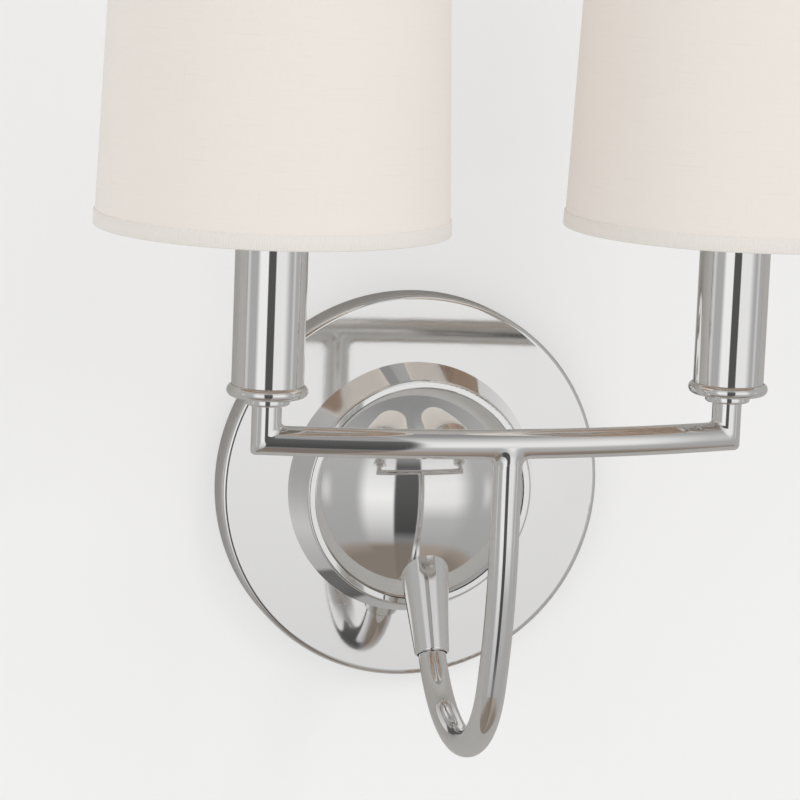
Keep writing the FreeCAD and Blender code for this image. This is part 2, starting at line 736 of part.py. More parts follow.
def flame_curve(inset):
    """The candle-flame outline from its neck to its tip as arcs, moved in by inset."""
    neck = bulb_neck_radius - inset
    wide = bulb_radius - inset
    widest = glass_foot + bulb_widest
    tip = glass_top - inset
    cap = bulb_tip_round - inset
    shoulder = arc_point((0, tip - cap), cap, bulb_tip_slope)
    tip_middle = arc_point((0, tip - cap), cap, (90 + bulb_tip_slope) / 2)
    low_middle = (neck + (wide - neck) * bulb_low_belly[0],
                  glass_foot + (widest - glass_foot) * bulb_low_belly[1])
    high_middle = (shoulder[0] + (wide - shoulder[0]) * bulb_high_belly[0],
                   widest + (shoulder[1] - widest) * bulb_high_belly[1])
    return ((neck, glass_foot), low_middle, (wide, widest), high_middle, shoulder, tip_middle,
            (0, tip))


def bulb_glass(x, y):
    """The clear glass envelope, open at its foot where the stem closes it."""
    out = flame_curve(0.0)
    into = flame_curve(bulb_glass_wall)
    return turned([out[0], (out[1], out[2]), (out[3], out[4]), (out[5], out[6]), into[6],
                   (into[5], into[4]), (into[3], into[2]), (into[1], into[0])], x, y)


def bulb_filament(x, y):
    """The glass stem that closes the envelope, and its two upright filaments."""
    foot, middle = glass_foot, Vector(x, y, glass_foot)
    stem = turned([(0, foot), (stem_foot_radius, foot),
                   (stem_head_radius, foot + stem_taper_height), (0, foot + stem_height)], x, y)
    half = filament_spacing / 2
    top = stem_height + filament_length
    pieces = []
    for side in (-1, 1):
        root = middle + Z * (stem_taper_height - stem_head_radius)
        low = middle + Vector(side * half, 0, stem_height)
        pieces.append(rod(lead_radius, root, low - root, (low - root).Length + lead_radius))
        pieces.append(rod(filament_radius, low, Z, filament_length))
    bridge = rod(lead_radius, middle + Vector(-half, 0, top - lead_radius), X, filament_spacing)
    return stem.fuse(pieces + [bridge]).removeSplitter()


# ---- shade ----
def shade_radius(z):
    """Outer radius of the stiff fabric cone, under the hems."""
    return shade_bottom_radius - hem_thickness - shade_taper * (z - shade_bottom)


def shade_fabric(x, y):
    """Linen on a stiff liner, a plain truncated cone between the two rings."""
    low, top, t = shade_bottom + hem_thickness, shade_top - hem_thickness, shade_thickness
    return turned([(shade_radius(low), low), (shade_radius(top), top),
                   (shade_radius(top) - t, top), (shade_radius(low) - t, low)], x, y)


def ring_wire_place(edge):
    """Radius and height of a rim wire's middle, inside the fabric at either edge."""
    up = 1 if edge == shade_bottom else -1
    z = edge + up * (hem_thickness + wire_radius)
    return shade_radius(z) - shade_thickness - fit - wire_radius, z


def shade_hem(x, y, edge):
    """The folded tape round one edge: over the outside, under the edge, and in round
    the rim wire."""
    up = 1 if edge == shade_bottom else -1
    t = hem_thickness
    out_low = shade_radius(edge) + t
    out_high = shade_radius(edge + up * hem_height) + t
    wire = ring_wire_place(edge)[0]
    inner = wire - wire_radius - fit
    return turned([(out_low, edge), (out_high, edge + up * hem_height),
                   (out_high - t, edge + up * hem_height),
                   (shade_radius(edge + up * t), edge + up * t), (inner, edge + up * t),
                   (inner, edge + up * hem_inner_height), (inner - t, edge + up * hem_inner_height),
                   (inner - t, edge)], x, y)


def rim_wire(x, y, edge):
    radius, z = ring_wire_place(edge)
    return Part.makeTorus(radius, wire_radius, Vector(x, y, z), Z)


def shade_spider(x, y):
    """The hub over the bulb and its dropped spokes, welded under the top rim wire."""
    rim, rim_height = ring_wire_place(shade_top)
    spider = rod(hub_radius, Vector(x, y, hub_bottom), Z, hub_thickness)
    spider = spider.cut(rod(hub_hole_radius, Vector(x, y, hub_bottom - 1), Z,
                            hub_thickness + 2))
    low = hub_bottom + hub_thickness / 2
    high = rim_height - wire_radius - spoke_radius
    slope = math.atan2(high - low, spoke_rise_run)
    trim = spoke_bend * math.tan(slope / 2)
    root = hub_radius - spoke_overlap
    run = rim - spoke_rise_run - trim - root
    climb = math.hypot(spoke_rise_run, high - low) - trim
    for k in range(spoke_count):
        turn = math.radians(90 + 360 / spoke_count * k)
        out = Vector(math.cos(turn), math.sin(turn), 0)
        steps = [(run,), (spoke_bend, math.degrees(slope), -Z.cross(out)), (climb,)]
        spider = spider.fuse(tube(Vector(x, y, low) + out * root, out, steps,
                                  spoke_radius, 0)[0])
    rim_wire_there = Part.makeTorus(rim, wire_radius, Vector(x, y, rim_height), Z)
    return spider.cut(rim_wire_there).removeSplitter()


def bulb_clip(x, y):
    """Two sprung wire loops that hang from the hub and straddle the bulb."""
    reach = bulb_radius + bulb_gap + clip_wire_radius + clip_slack
    foot_height = glass_foot + bulb_widest + clip_foot_rise
    bend = clip_loop_width / 2
    over = clip_wire_radius     # spare wire that the hub's underside trims
    above_hub = beyond(Vector(x, y, hub_bottom), Z)
    loops = []
    for side in (-1, 1):
        top = Vector(x + side * clip_top_out, y, hub_bottom)
        foot = Vector(x + side * reach, y, foot_height)
        length = (foot - top).Length
        down = (foot - top).normalize()
        lean = math.atan2((clip_loop_width - clip_top_width) / 2, length - bend)
        heading = (down * math.cos(lean) + Y * math.sin(lean)).normalize()
        start = top + Y * (clip_top_width / 2) - heading * over
        run = (length - bend) / math.cos(lean) + over
        steps = [(run,), (bend, 180 + 2 * math.degrees(lean), Y.cross(down).normalize()), (run,)]
        loops.append(tube(start, heading, steps, clip_wire_radius, 0)[0].cut(above_hub))
    return Part.makeCompound([solid for loop in loops for solid in loop.Solids])


# ---- the whole light ----
route_start, route_heading, route_steps = arm_route()
bar_front = tube(route_start, route_heading, route_steps, tube_radius, 0)[2].y

parts = {
    "backplate": backplate(),
    "step_ring": step_ring(),
    "ring_nuts": ring_nuts(),
    "dome_cap": dome_cap(),
    "mounting_strap": mounting_strap(),
    "lock_screw": lock_screw(),
    "ground_screw": ground_screw(),
    "arm_ferrule": arm_ferrule(),
    "hook_arm": hook_arm(),
    "crossbar": crossbar(),
    "arm_braze": arm_braze(),
}
parts["arm_nipple"], parts["saddle_washer"], parts["arm_locknut"] = nipple_stack()

for name, side in (("left", -1), ("right", 1)):
    corner, heading = crossbar_end(side)
    x, y = corner.x, corner.y
    parts[name + "_riser"] = riser(side)
    parts[name + "_collar"] = collar(x, y)
    parts[name + "_candle_pan"] = candle_pan(x, y)
    parts[name + "_locknut"] = locknut(x, y)
    parts[name + "_socket_bracket"] = socket_bracket(x, y)
    parts[name + "_holder_screw"] = holder_screw(x, y)
    parts[name + "_lampholder"] = lampholder(x, y)
    parts[name + "_screw_shell"] = screw_shell(x, y)
    parts[name + "_centre_contact"] = centre_contact(x, y)
    parts[name + "_candle_sleeve"] = candle_sleeve(x, y)
    parts[name + "_bulb_base"] = bulb_base(x, y)
    parts[name + "_bulb_glass"] = bulb_glass(x, y)
    parts[name + "_bulb_filament"] = bulb_filament(x, y)
    parts[name + "_shade_fabric"] = shade_fabric(x, y)
    parts[name + "_shade_hem_low"] = shade_hem(x, y, shade_bottom)
    parts[name + "_shade_hem_top"] = shade_hem(x, y, shade_top)
    parts[name + "_shade_ring_low"] = rim_wire(x, y, shade_bottom)
    parts[name + "_shade_ring_top"] = rim_wire(x, y, shade_top)
    parts[name + "_shade_spider"] = shade_spider(x, y)
    parts[name + "_bulb_clip"] = bulb_clip(x, y)

os.makedirs("parts", exist_ok=True)
for name, shape in parts.items():
    shape.exportStep(os.path.join("parts", name + ".step"))
    print(name, "solids", len(shape.Solids), "valid", shape.isValid(),
          "volume", round(shape.Volume, 2))
print("nodes", len(parts), "bar front", round(bar_front, 3))
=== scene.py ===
# %% [markdown]
# # Double arm wall sconce
# A round polished plate carries a hooked tube, a bowed crossbar and two candles under
# small drum shades. The parts come ready made from the CAD model and stay where they are.
# This lesson gives each of them its finish, and rebuilds those whose look a plain solid
# can't carry: the brazed and polished joints, linen, ribbed tape and screw threads.

# %% Load the light
import json
import math
import random

import bmesh
import bpy
from mathutils import Matrix, Vector


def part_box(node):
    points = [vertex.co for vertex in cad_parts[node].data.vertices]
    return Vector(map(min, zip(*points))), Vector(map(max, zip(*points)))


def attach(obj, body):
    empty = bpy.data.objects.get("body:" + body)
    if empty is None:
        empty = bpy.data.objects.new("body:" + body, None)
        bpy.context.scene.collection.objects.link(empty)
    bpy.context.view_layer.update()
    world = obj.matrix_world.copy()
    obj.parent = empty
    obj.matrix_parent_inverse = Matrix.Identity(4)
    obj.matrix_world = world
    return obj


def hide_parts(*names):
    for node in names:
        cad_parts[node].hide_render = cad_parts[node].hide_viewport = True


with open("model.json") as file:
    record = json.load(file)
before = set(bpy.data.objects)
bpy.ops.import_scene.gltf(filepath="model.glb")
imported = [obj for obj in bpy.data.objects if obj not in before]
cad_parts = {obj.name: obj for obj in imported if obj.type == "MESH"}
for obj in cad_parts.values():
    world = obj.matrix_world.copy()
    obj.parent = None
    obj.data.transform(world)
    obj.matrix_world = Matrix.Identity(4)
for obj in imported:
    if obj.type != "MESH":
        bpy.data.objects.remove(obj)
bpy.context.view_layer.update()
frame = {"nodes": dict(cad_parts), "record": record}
nodes = frame["nodes"]
MM = 0.001
SIDES = ("left", "right")
random.seed(7)

# %% [markdown]
# ## Sums on sockets
# A finish is a small graph of nodes. Written out by hand it takes a page, so a socket is
# wrapped in a class that knows Python's operators: `1 - mask * 0.3` then adds the Math
# nodes by itself. Every other node comes from one method, which sets the node's own
# choices first and its sockets after that.


# %% A graph of nodes that reads like a sum
class Signal:
    """The output of a node, which can stand in a Python sum."""

    def __init__(self, graph, made, output=0):
        self.graph = graph
        self.made = made
        self.socket = made.outputs[output]

    def out(self, output):
        return Signal(self.graph, self.made, output)

    def __add__(self, other):
        return self.graph.maths("ADD", self, other)

    def __radd__(self, other):
        return self.graph.maths("ADD", other, self)

    def __sub__(self, other):
        return self.graph.maths("SUBTRACT", self, other)

    def __rsub__(self, other):
        return self.graph.maths("SUBTRACT", other, self)

    def __mul__(self, other):
        return self.graph.maths("MULTIPLY", self, other)

    def __rmul__(self, other):
        return self.graph.maths("MULTIPLY", other, self)

    def __truediv__(self, other):
        return self.graph.maths("DIVIDE", self, other)


class Graph:
    """A node tree that starts empty."""

    def __init__(self, tree):
        self.tree = tree
        tree.nodes.clear()

    def node(self, kind, settings=None, sockets=None, output=0):
        made = self.tree.nodes.new(kind)
        for name, value in (settings or {}).items():
            if name == "stops":
                self.set_stops(made.color_ramp, value)
            else:
                setattr(made, name, value)
        for name, value in (sockets or {}).items():
            if isinstance(value, Signal):
                self.tree.links.new(value.socket, made.inputs[name])
            else:
                made.inputs[name].default_value = value
        return Signal(self, made, output) if made.outputs else None

    def set_stops(self, ramp, stops):
        """Stops are (place, grey) or (place, colour)."""
        while len(ramp.elements) < len(stops):
            ramp.elements.new(1.0)
        for element, (place, colour) in zip(ramp.elements, stops):
            element.position = place
            tint = (colour,) * 3 if isinstance(colour, (int, float)) else colour
            element.color = (*tint, 1.0)

    def maths(self, operation, *values):
        return self.node("ShaderNodeMath", {"operation": operation}, dict(enumerate(values)))

    def vector(self, operation, *values):
        return self.node("ShaderNodeVectorMath", {"operation": operation},
                         dict(enumerate(values)))

    def mix_colour(self, share, first, second, blend="MIX"):
        """A Mix node for colours: its sockets 0, 6 and 7 are the factor and the pair."""
        settings = {"data_type": "RGBA", "blend_type": blend}
        tints = [c if isinstance(c, Signal) else (*c, 1.0) for c in (first, second)]
        return self.node("ShaderNodeMix", settings, {0: share, 6: tints[0], 7: tints[1]}, 2)

    def ramp(self, value, low, high, stops):
        """A curve of greys or colours against a value that runs from low to high."""
        places = [((place - low) / (high - low), colour) for place, colour in stops]
        share = (value - low) / (high - low)
        return self.node("ShaderNodeValToRGB", {"stops": places}, {0: share})

    def rise(self, value, start, end):
        """0 below start, 1 above end, and smooth between them."""
        return self.node("ShaderNodeMapRange", {"interpolation_type": "SMOOTHSTEP"},
                         {"Value": value, "From Min": start, "From Max": end})

    def band(self, value, low, high, soft_low, soft_high):
        """1 between low and high, with soft edges."""
        return (self.rise(value, low - soft_low, low + soft_low)
                * (1 - self.rise(value, high - soft_high, high + soft_high)))

    def noise(self, where, scale, detail=2.0):
        return self.node("ShaderNodeTexNoise", None,
                         {"Vector": where, "Scale": scale, "Detail": detail}, "Fac")


# %% [markdown]
# ## The camera
# The photographer stood a little to the left of the light and above it, far enough away
# for almost straight lines, and tilted the camera by two degrees. The place and the angles
# were fitted to the edges of the plate, the bar and the shades. The picture is a crop out
# of a larger one, which is what the small shift says.

# %% Camera
PHOTO_SIZE = 800
SENSOR_WIDTH = 36.0
LENS = 162.35
AXIS_PIXEL = (418.13, 421.69)       # where the lens's own axis meets the picture
CAMERA_PLACE = Vector((-0.33253, -1.24608, 0.25251))
CAMERA_TURN = math.radians(-15.146)
CAMERA_RISE = math.radians(10.139)
CAMERA_ROLL = math.radians(2.300)


def camera_axes():
    """The camera's right, up and back directions."""
    back = Vector((math.sin(CAMERA_TURN) * math.cos(CAMERA_RISE),
                   -math.cos(CAMERA_TURN) * math.cos(CAMERA_RISE), math.sin(CAMERA_RISE)))
    level = (-back).cross(Vector((0, 0, 1))).normalized()
    upright = level.cross(-back)
    cosine, sine = math.cos(CAMERA_ROLL), math.sin(CAMERA_ROLL)
    return level * cosine + upright * sine, upright * cosine - level * sine, back


def in_scene(name, data):
    """A new object in the scene."""
    made = bpy.data.objects.new(name, data)
    bpy.context.scene.collection.objects.link(made)
    return made


def make_camera():
    data = bpy.data.cameras.new("photo_camera")
    data.sensor_width = SENSOR_WIDTH
    data.lens = LENS
    data.shift_x = (PHOTO_SIZE / 2 - AXIS_PIXEL[0]) / PHOTO_SIZE
    data.shift_y = (AXIS_PIXEL[1] - PHOTO_SIZE / 2) / PHOTO_SIZE
    camera = in_scene("photo_camera", data)
    camera.matrix_world = (Matrix.Translation(CAMERA_PLACE)
                           @ Matrix(camera_axes()).transposed().to_4x4())
    bpy.context.scene.camera = camera
    print("camera, metres from the light", round(CAMERA_PLACE.length, 3))


make_camera()
bpy.context.scene.view_settings.view_transform = "Standard"

# %% [markdown]
# ## Wall and floor
# The light hangs on a wall, and the soft shadow on that wall is part of how it looks. The
# wall is one sheet with a round hole that the plate hides. Its back is clear, so that the
# strap behind the plate can be looked at from behind. The photo's wall has been lifted to an
# even pale grey, while the metal still shows it as it was: so the camera sees paint that is
# partly its own light, and polished metal sees plain grey paint. The floor is pale and lies
# well below.

# %% Wall and floor
WALL_COLOUR = (0.89, 0.89, 0.888)
WALL_IN_METAL = (0.44, 0.43, 0.415)
WALL_LIFT = 0.55                    # share of the wall's paleness that needs no lamp
FLOOR_COLOUR = (0.80, 0.79, 0.775)
WALL_REACH = 6.0
WALL_GAP = 0.2 * MM                 # behind the plate's rim
WALL_HOLE_SHARE = 0.94              # of the plate's radius
FLOOR_HEIGHT = -0.95
HOLE_STEPS = 96
PAINT_ROUGH = 0.9
PAINT_SHINE = 0.2
SHADER = "ShaderNodeBsdfPrincipled"


def new_material(name):
    """A new material and its empty graph."""
    material = bpy.data.materials.new(name)
    material.use_nodes = True
    return material, Graph(material.node_tree)


def matt(graph, colour):
    return graph.node(SHADER, None, {"Base Color": (*colour, 1.0), "Roughness": PAINT_ROUGH,
                                     "Specular IOR Level": PAINT_SHINE})


def one_sided(graph, front):
    """Ends a finish that can't be seen from behind."""
    behind = graph.node("ShaderNodeNewGeometry", output="Backfacing")
    clear = graph.node("ShaderNodeBsdfTransparent")
    either = graph.node("ShaderNodeMixShader", None, {0: behind, 1: front, 2: clear})
    graph.node("ShaderNodeOutputMaterial", None, {"Surface": either})


def wall_paint():
    material, graph = new_material("wall_paint")
    lifted = graph.node("ShaderNodeEmission", None, {"Color": (*WALL_COLOUR, 1.0)})
    pale = graph.node("ShaderNodeMixShader", None,
                      {0: WALL_LIFT, 1: matt(graph, WALL_COLOUR), 2: lifted})
    in_metal = graph.node("ShaderNodeLightPath", output="Is Glossy Ray")
    one_sided(graph, graph.node("ShaderNodeMixShader", None,
                                {0: in_metal, 1: pale, 2: matt(graph, WALL_IN_METAL)}))
    return material


def floor_paint():
    material, graph = new_material("floor_paint")
    one_sided(graph, matt(graph, FLOOR_COLOUR))
    return material


def make_wall():
    """A square sheet with a round hole, made of strips from the hole to the far edge."""
    plate_low, plate_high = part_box("backplate")
    hole = WALL_HOLE_SHARE * (plate_high.x - plate_low.x) / 2
    points, faces = [], []
    for k in range(HOLE_STEPS):
        turn = 2 * math.pi * k / HOLE_STEPS
        x, z = math.cos(turn), math.sin(turn)
        far = WALL_REACH / max(abs(x), abs(z))
        points += [(x * hole, WALL_GAP, z * hole), (x * far, WALL_GAP, z * far)]
        a, b = 2 * k, 2 * ((k + 1) % HOLE_STEPS)
        faces.append((a, a + 1, b + 1, b))
    mesh = bpy.data.meshes.new("wall")
    mesh.from_pydata(points, [], faces)
    mesh.materials.append(wall_paint())
    in_scene("wall", mesh)
    print("hole in the wall, mm across", round(2 * hole / MM, 1))


def make_floor():
    mesh = bpy.data.meshes.new("floor")
    r = WALL_REACH
    mesh.from_pydata([(-r, -2 * r, FLOOR_HEIGHT), (r, -2 * r, FLOOR_HEIGHT),
                      (r, r, FLOOR_HEIGHT), (-r, r, FLOOR_HEIGHT)], [], [(0, 1, 2, 3)])
    mesh.materials.append(floor_paint())
    floor = in_scene("floor", mesh)
    floor.visible_glossy = False


make_wall()
make_floor()

# %% [markdown]
# ## The room that the nickel reflects
# Polished metal has hardly a colour of its own: what shows on it is the room. Here that is
# two tall soft panels with a dark gap between them, grey walls, and a brown floor. The
# world draws them by direction: `turn` is the angle round the light, 0 straight out from
# the wall, and `rise` the angle above the horizon. Each list below gives a brightness for
# some rises, and a ramp fills in the rest. Only metal and glass show the panels. Cloth and
# paint get an even pale light from all round, which is what keeps a shade's sides soft.

# %% Studio
ROOM_PALE = (0.87, 0.87, 0.868)
NEUTRAL = (1.0, 1.0, 1.0)
FLOOR_BROWN = (1.0, 0.86, 0.74)
WALLS = [(-58, 0.25), (-45, 0.40), (20, 0.46), (75, 0.29)]
LEFT_PANEL = [(-52, 0.25), (-46, 0.44), (-25, 0.74), (-6, 0.97), (14, 0.84), (55, 0.38),
              (75, 0.29)]
RIGHT_PANEL = [(-62, 0.34), (-24, 0.50), (-10, 0.86), (5, 0.90), (22, 0.80), (62, 0.34),
               (75, 0.29)]
DARK_GAP = [(-44, 0.22), (-36, 0.07), (22, 0.12), (32, 0.36), (90, 0.28)]
LEFT_SPAN = (-50.0, -20.5, 7.0, 1.6)        # from, to, softness of either edge, degrees
RIGHT_SPAN = (3.0, 44.0, 1.6, 12.0)
GAP_SPAN = (-20.5, 3.0, 1.6, 1.6)
SIDE_GLOWS = ((-85.0, 9.0, 0.24), (68.0, 8.0, 0.22))    # turn, width and strength
GLOW_RISE = (-5.0, 16.0)                    # middle and width
GLOW_PEAK = 16.0                            # two crossed bands peak at a sixteenth
BROWN_FROM = (-52.0, -44.0)


def make_studio():
    world = bpy.data.worlds.new("studio")
    bpy.context.scene.world = world
    world.use_nodes = True
    graph = Graph(world.node_tree)
    x = graph.node("ShaderNodeSeparateXYZ", None,
                   {0: graph.node("ShaderNodeTexCoord", output="Generated")}, "X")
    degree = 180 / math.pi
    turn = graph.maths("ARCTAN2", x, 0 - x.out("Y")) * degree
    rise = graph.maths("ARCSINE", x.out("Z")) * degree
    light = graph.ramp(rise, -90, 90, WALLS)
    middle, width = GLOW_RISE
    glow_height = graph.band(rise, middle, middle, width, width)
    for place, width, strength in SIDE_GLOWS:
        glow = graph.band(turn, place, place, width, width) * glow_height
        light = light + glow * (GLOW_PEAK * strength)
    for span, profile in ((LEFT_SPAN, LEFT_PANEL), (RIGHT_SPAN, RIGHT_PANEL),
                          (GAP_SPAN, DARK_GAP)):
        inside = graph.band(turn, *span)
        light = light * (1 - inside) + graph.ramp(rise, -90, 90, profile) * inside
    brown = 1 - graph.rise(rise, *BROWN_FROM)
    tint = graph.mix_colour(brown, NEUTRAL, FLOOR_BROWN)
    room = graph.vector("MULTIPLY", tint, light)
    in_metal = graph.node("ShaderNodeLightPath", output="Is Glossy Ray")
    seen = graph.mix_colour(in_metal, ROOM_PALE, room)
    shown = graph.node("ShaderNodeBackground", None, {"Color": seen, "Strength": 1.0})
    graph.node("ShaderNodeOutputWorld", None, {"Surface": shown})
    print("studio nodes", len(graph.tree.nodes))


make_studio()

# %% [markdown]
# ## Lamps
# The panels above are what the metal shows. Cloth and paint need more light than they
# give, so a big soft lamp stands on either side of the camera. Metal doesn't show them. The
# one on the right is stronger, which puts the plate's faint shadow on the wall to its left.
# A third stands behind the wall, for a look at the light from behind.

# %% Lamps
LAMPS = (
    # name, place in metres, size, watts
    ("key_right", (1.4, -1.8, 1.3), 0.8, 11.0),
    ("fill_left", (-1.6, -1.9, 0.5), 1.4, 8.0),
    ("fill_back", (0.6, 2.4, 0.6), 2.0, 20.0),
)


def make_lamp(name, place, size, watts):
    data = bpy.data.lights.new(name, "AREA")
    data.shape = "SQUARE"
    data.size = size
    data.energy = watts
    lamp = in_scene(name, data)
    toward = -Vector(place)
    lamp.matrix_world = (Matrix.Translation(place)
                         @ toward.to_track_quat("-Z", "Y").to_matrix().to_4x4())
    lamp.visible_glossy = False
    lamp.visible_camera = False


for lamp_values in LAMPS:
    make_lamp(*lamp_values)
print("lamps", len(LAMPS))

# %% [markdown]
# ## Finishes
# Each finish is one function with its own small graph. They share their first lines,
# which make the material and hand over the place on the surface in metres.

# %% A new finish
def finish(name):
    """A new material's graph, and the place on the surface in metres."""
    material, graph = new_material(name)
    graph.material = material
    return graph, graph.node("ShaderNodeTexCoord", output="Object")


def end_finish(graph, shader):
    graph.node("ShaderNodeOutputMaterial", None, {"Surface": shader})
    print("finish", graph.material.name, "has", len(graph.tree.nodes), "nodes")
    return graph.material


def bump(graph, height, strength, distance):
    return graph.node("ShaderNodeBump", None,
                      {"Strength": strength, "Distance": distance, "Height": height})


# %% [markdown]
# ### Polished nickel
# Nickel plate is a warm mirror. A perfect one looks like a computer's, so the polish has
# the traces of the wheel that made it: a slow waviness of a few microns that bends the
# reflections a little, fine lines, and a faint film where hands have been. Turned pieces
# have their lines round the axis, tubes have them along the tube.

# %% Nickel
NICKEL = (0.866, 0.861, 0.853)
NICKEL_WORN = (0.83, 0.82, 0.802)
POLISH_ROUGH = 0.045
FILM_SCALE = 22.0                   # patches of film to a metre
FILM_EDGES = (0.5, 0.75)
FILM_ROUGH, FILM_TINT = 0.03, 0.35
LINES_A_METRE = 2600.0
LINE_EDGES = (0.55, 0.8)
LINE_ROUGH, LINE_TINT = 0.035, 0.1
WAVES_A_METRE = 90.0
WAVE_STRENGTH = 0.35
TUBE_LINES_SCALE = 260.0
FINE_BUMP = 0.02 * MM


def nickel(name, lines_across):
    """lines_across gives, from the graph and the place, the distance that the lines count."""
    graph, place = finish(name)
    haze = graph.rise(graph.noise(place, FILM_SCALE, 4.0), *FILM_EDGES)
    lines = graph.node("ShaderNodeTexNoise", {"noise_dimensions": "1D"},
                       {"W": lines_across(graph, place) * LINES_A_METRE, "Scale": 1.0,
                        "Detail": 1.0}, "Fac")
    wave = graph.noise(place, WAVES_A_METRE, 1.0)
    rough = (POLISH_ROUGH + haze * FILM_ROUGH
             + graph.rise(lines, *LINE_EDGES) * LINE_ROUGH)
    colour = graph.mix_colour(haze * FILM_TINT + lines * LINE_TINT, NICKEL, NICKEL_WORN)
    normal = bump(graph, wave, WAVE_STRENGTH, FINE_BUMP)
    shader = graph.node(SHADER, None, {"Base Color": colour, "Metallic": 1.0,
                                       "Roughness": rough, "Normal": normal})
    return end_finish(graph, shader)


def round_wall_axis(graph, place):
    """Distance from the plate's own axis, which runs along Y."""
    flat = graph.vector("MULTIPLY", place, (1.0, 0.0, 1.0))
    return graph.node("ShaderNodeVectorMath", {"operation": "LENGTH"}, {0: flat}, "Value")


def up_the_candle(graph, place):
    return graph.node("ShaderNodeSeparateXYZ", None, {0: place}, "Z")


def across_a_tube(graph, place):
    return graph.noise(place, TUBE_LINES_SCALE, 2.0) * MM


nickel_spun = nickel("nickel_spun", round_wall_axis)
nickel_turned = nickel("nickel_turned", up_the_candle)
nickel_tube = nickel("nickel_tube", across_a_tube)

# %% [markdown]
# ### Plain metals
# The strap, nuts and brackets are zinc plated steel: duller, faintly blue, with a
# cloudy spangle. The screw shells, contacts and the nipple are raw brass.

# %% Zinc and brass
ZINC = (0.60, 0.62, 0.64)
ZINC_DARK = (0.45, 0.46, 0.47)
BRASS = (0.80, 0.62, 0.33)
BRASS_DULL = (0.55, 0.40, 0.20)
GREEN = (0.03, 0.20, 0.06)
SPANGLE_EDGES, SPANGLE_ROUGH = (0.35, 0.65), 0.12
GRAIN_SCALE = 2500.0
CHIP_SCALE, CHIP_EDGES, CHIP_TINT = 900.0, (0.62, 0.7), 0.6
SKIN_SCALE, SKIN_ROUGH = 1500.0, 0.15


def plated(name, bright, dull, cloud_scale, rough):
    graph, place = finish(name)
    cloud = graph.noise(place, cloud_scale, 5.0)
    patch = graph.rise(cloud, *SPANGLE_EDGES)
    grain = graph.noise(place, GRAIN_SCALE, 1.0)
    shader = graph.node(SHADER, None, {
        "Base Color": graph.mix_colour(patch, bright, dull), "Metallic": 1.0,
        "Roughness": rough + patch * SPANGLE_ROUGH,
        "Normal": bump(graph, grain, 0.25, FINE_BUMP)})
    return end_finish(graph, shader)


def painted(name, colour, worn, rough):
    graph, place = finish(name)
    chips = graph.rise(graph.noise(place, CHIP_SCALE, 3.0), *CHIP_EDGES)
    skin = graph.noise(place, SKIN_SCALE, 2.0)
    shader = graph.node(SHADER, None, {
        "Base Color": graph.mix_colour(chips * CHIP_TINT, colour, worn),
        "Roughness": rough + skin * SKIN_ROUGH,
        "Normal": bump(graph, skin, 0.2, FINE_BUMP)})
    return end_finish(graph, shader)


zinc = plated("zinc_plate", ZINC, ZINC_DARK, 160.0, 0.3)
brass = plated("raw_brass", BRASS, BRASS_DULL, 220.0, 0.22)
cap_metal = plated("cap_nickel", (0.78, 0.77, 0.74), (0.6, 0.59, 0.56), 300.0, 0.2)
green_paint = painted("green_paint", GREEN, (0.3, 0.32, 0.3), 0.35)
moulding = painted("black_moulding", (0.022, 0.022, 0.024), (0.06, 0.06, 0.06), 0.28)
wire_coat = painted("white_wire_coat", (0.80, 0.785, 0.75), (0.6, 0.58, 0.54), 0.4)
insulator = painted("base_insulator", (0.02, 0.018, 0.02), (0.05, 0.05, 0.05), 0.15)

# %% [markdown]
# ### Glass and filament
# The bulb is clear blown glass, thin enough that it mostly shows its rim. The filaments
# are rods coated in pale yellow.

# %% Glass and filament
def glass(name, tint, roughness):
    graph, place = finish(name)
    ripple = graph.noise(place, 60.0, 1.0)
    shader = graph.node(SHADER, None, {
        "Base Color": (*tint, 1.0), "Roughness": roughness, "IOR": 1.5,
        "Transmission Weight": 1.0, "Normal": bump(graph, ripple, 0.1, 0.05 * MM)})
    return end_finish(graph, shader)


clear_glass = glass("bulb_glass_clear", (0.97, 0.98, 0.98), 0.0)
filament_coat = painted("filament_coat", (0.85, 0.62, 0.24), (0.75, 0.5, 0.18), 0.5)

# %% [markdown]
# ### Linen, tape and liner
# Shade linen is a plain weave, glued to a stiff sheet. At arm's length its threads only
# give a soft tooth, with here and there a thicker thread, so the finish mixes two sets of
# fine waves, one round the shade and one up it, and stretches noise along both for the
# slubs. The liner shows inside: smooth, and tinted warmer than the cloth. That warm tint
# is painted light, a painted warm glow that stands in for light inside the shade.

# %% Cloth
LINEN = (0.822, 0.773, 0.727)
LINEN_SLUB = (0.768, 0.716, 0.666)
TAPE = (0.80, 0.765, 0.725)
TAPE_GROOVE = (0.72, 0.685, 0.645)
# the liner's warm colour is painted light: a warm glow inside the shade, painted into the sheet
LINER_PAINTED_GLOW = (0.80, 0.66, 0.55)
THREAD_PITCH = 0.55 * MM
TAPE_THREAD_PITCH = 0.4 * MM
SLUB_ALONG, SLUB_ACROSS = 60.0, 1500.0      # a slub is long one way and thin the other
SHADE_MEAN_RADIUS = 55.0 * MM


def round_and_up(graph, place):
    """Distance round the shade and up it, in metres."""
    x = graph.node("ShaderNodeSeparateXYZ", None, {0: place}, "X")
    around = graph.maths("ARCTAN2", x.out("Y"), x) * SHADE_MEAN_RADIUS
    return around, x.out("Z")


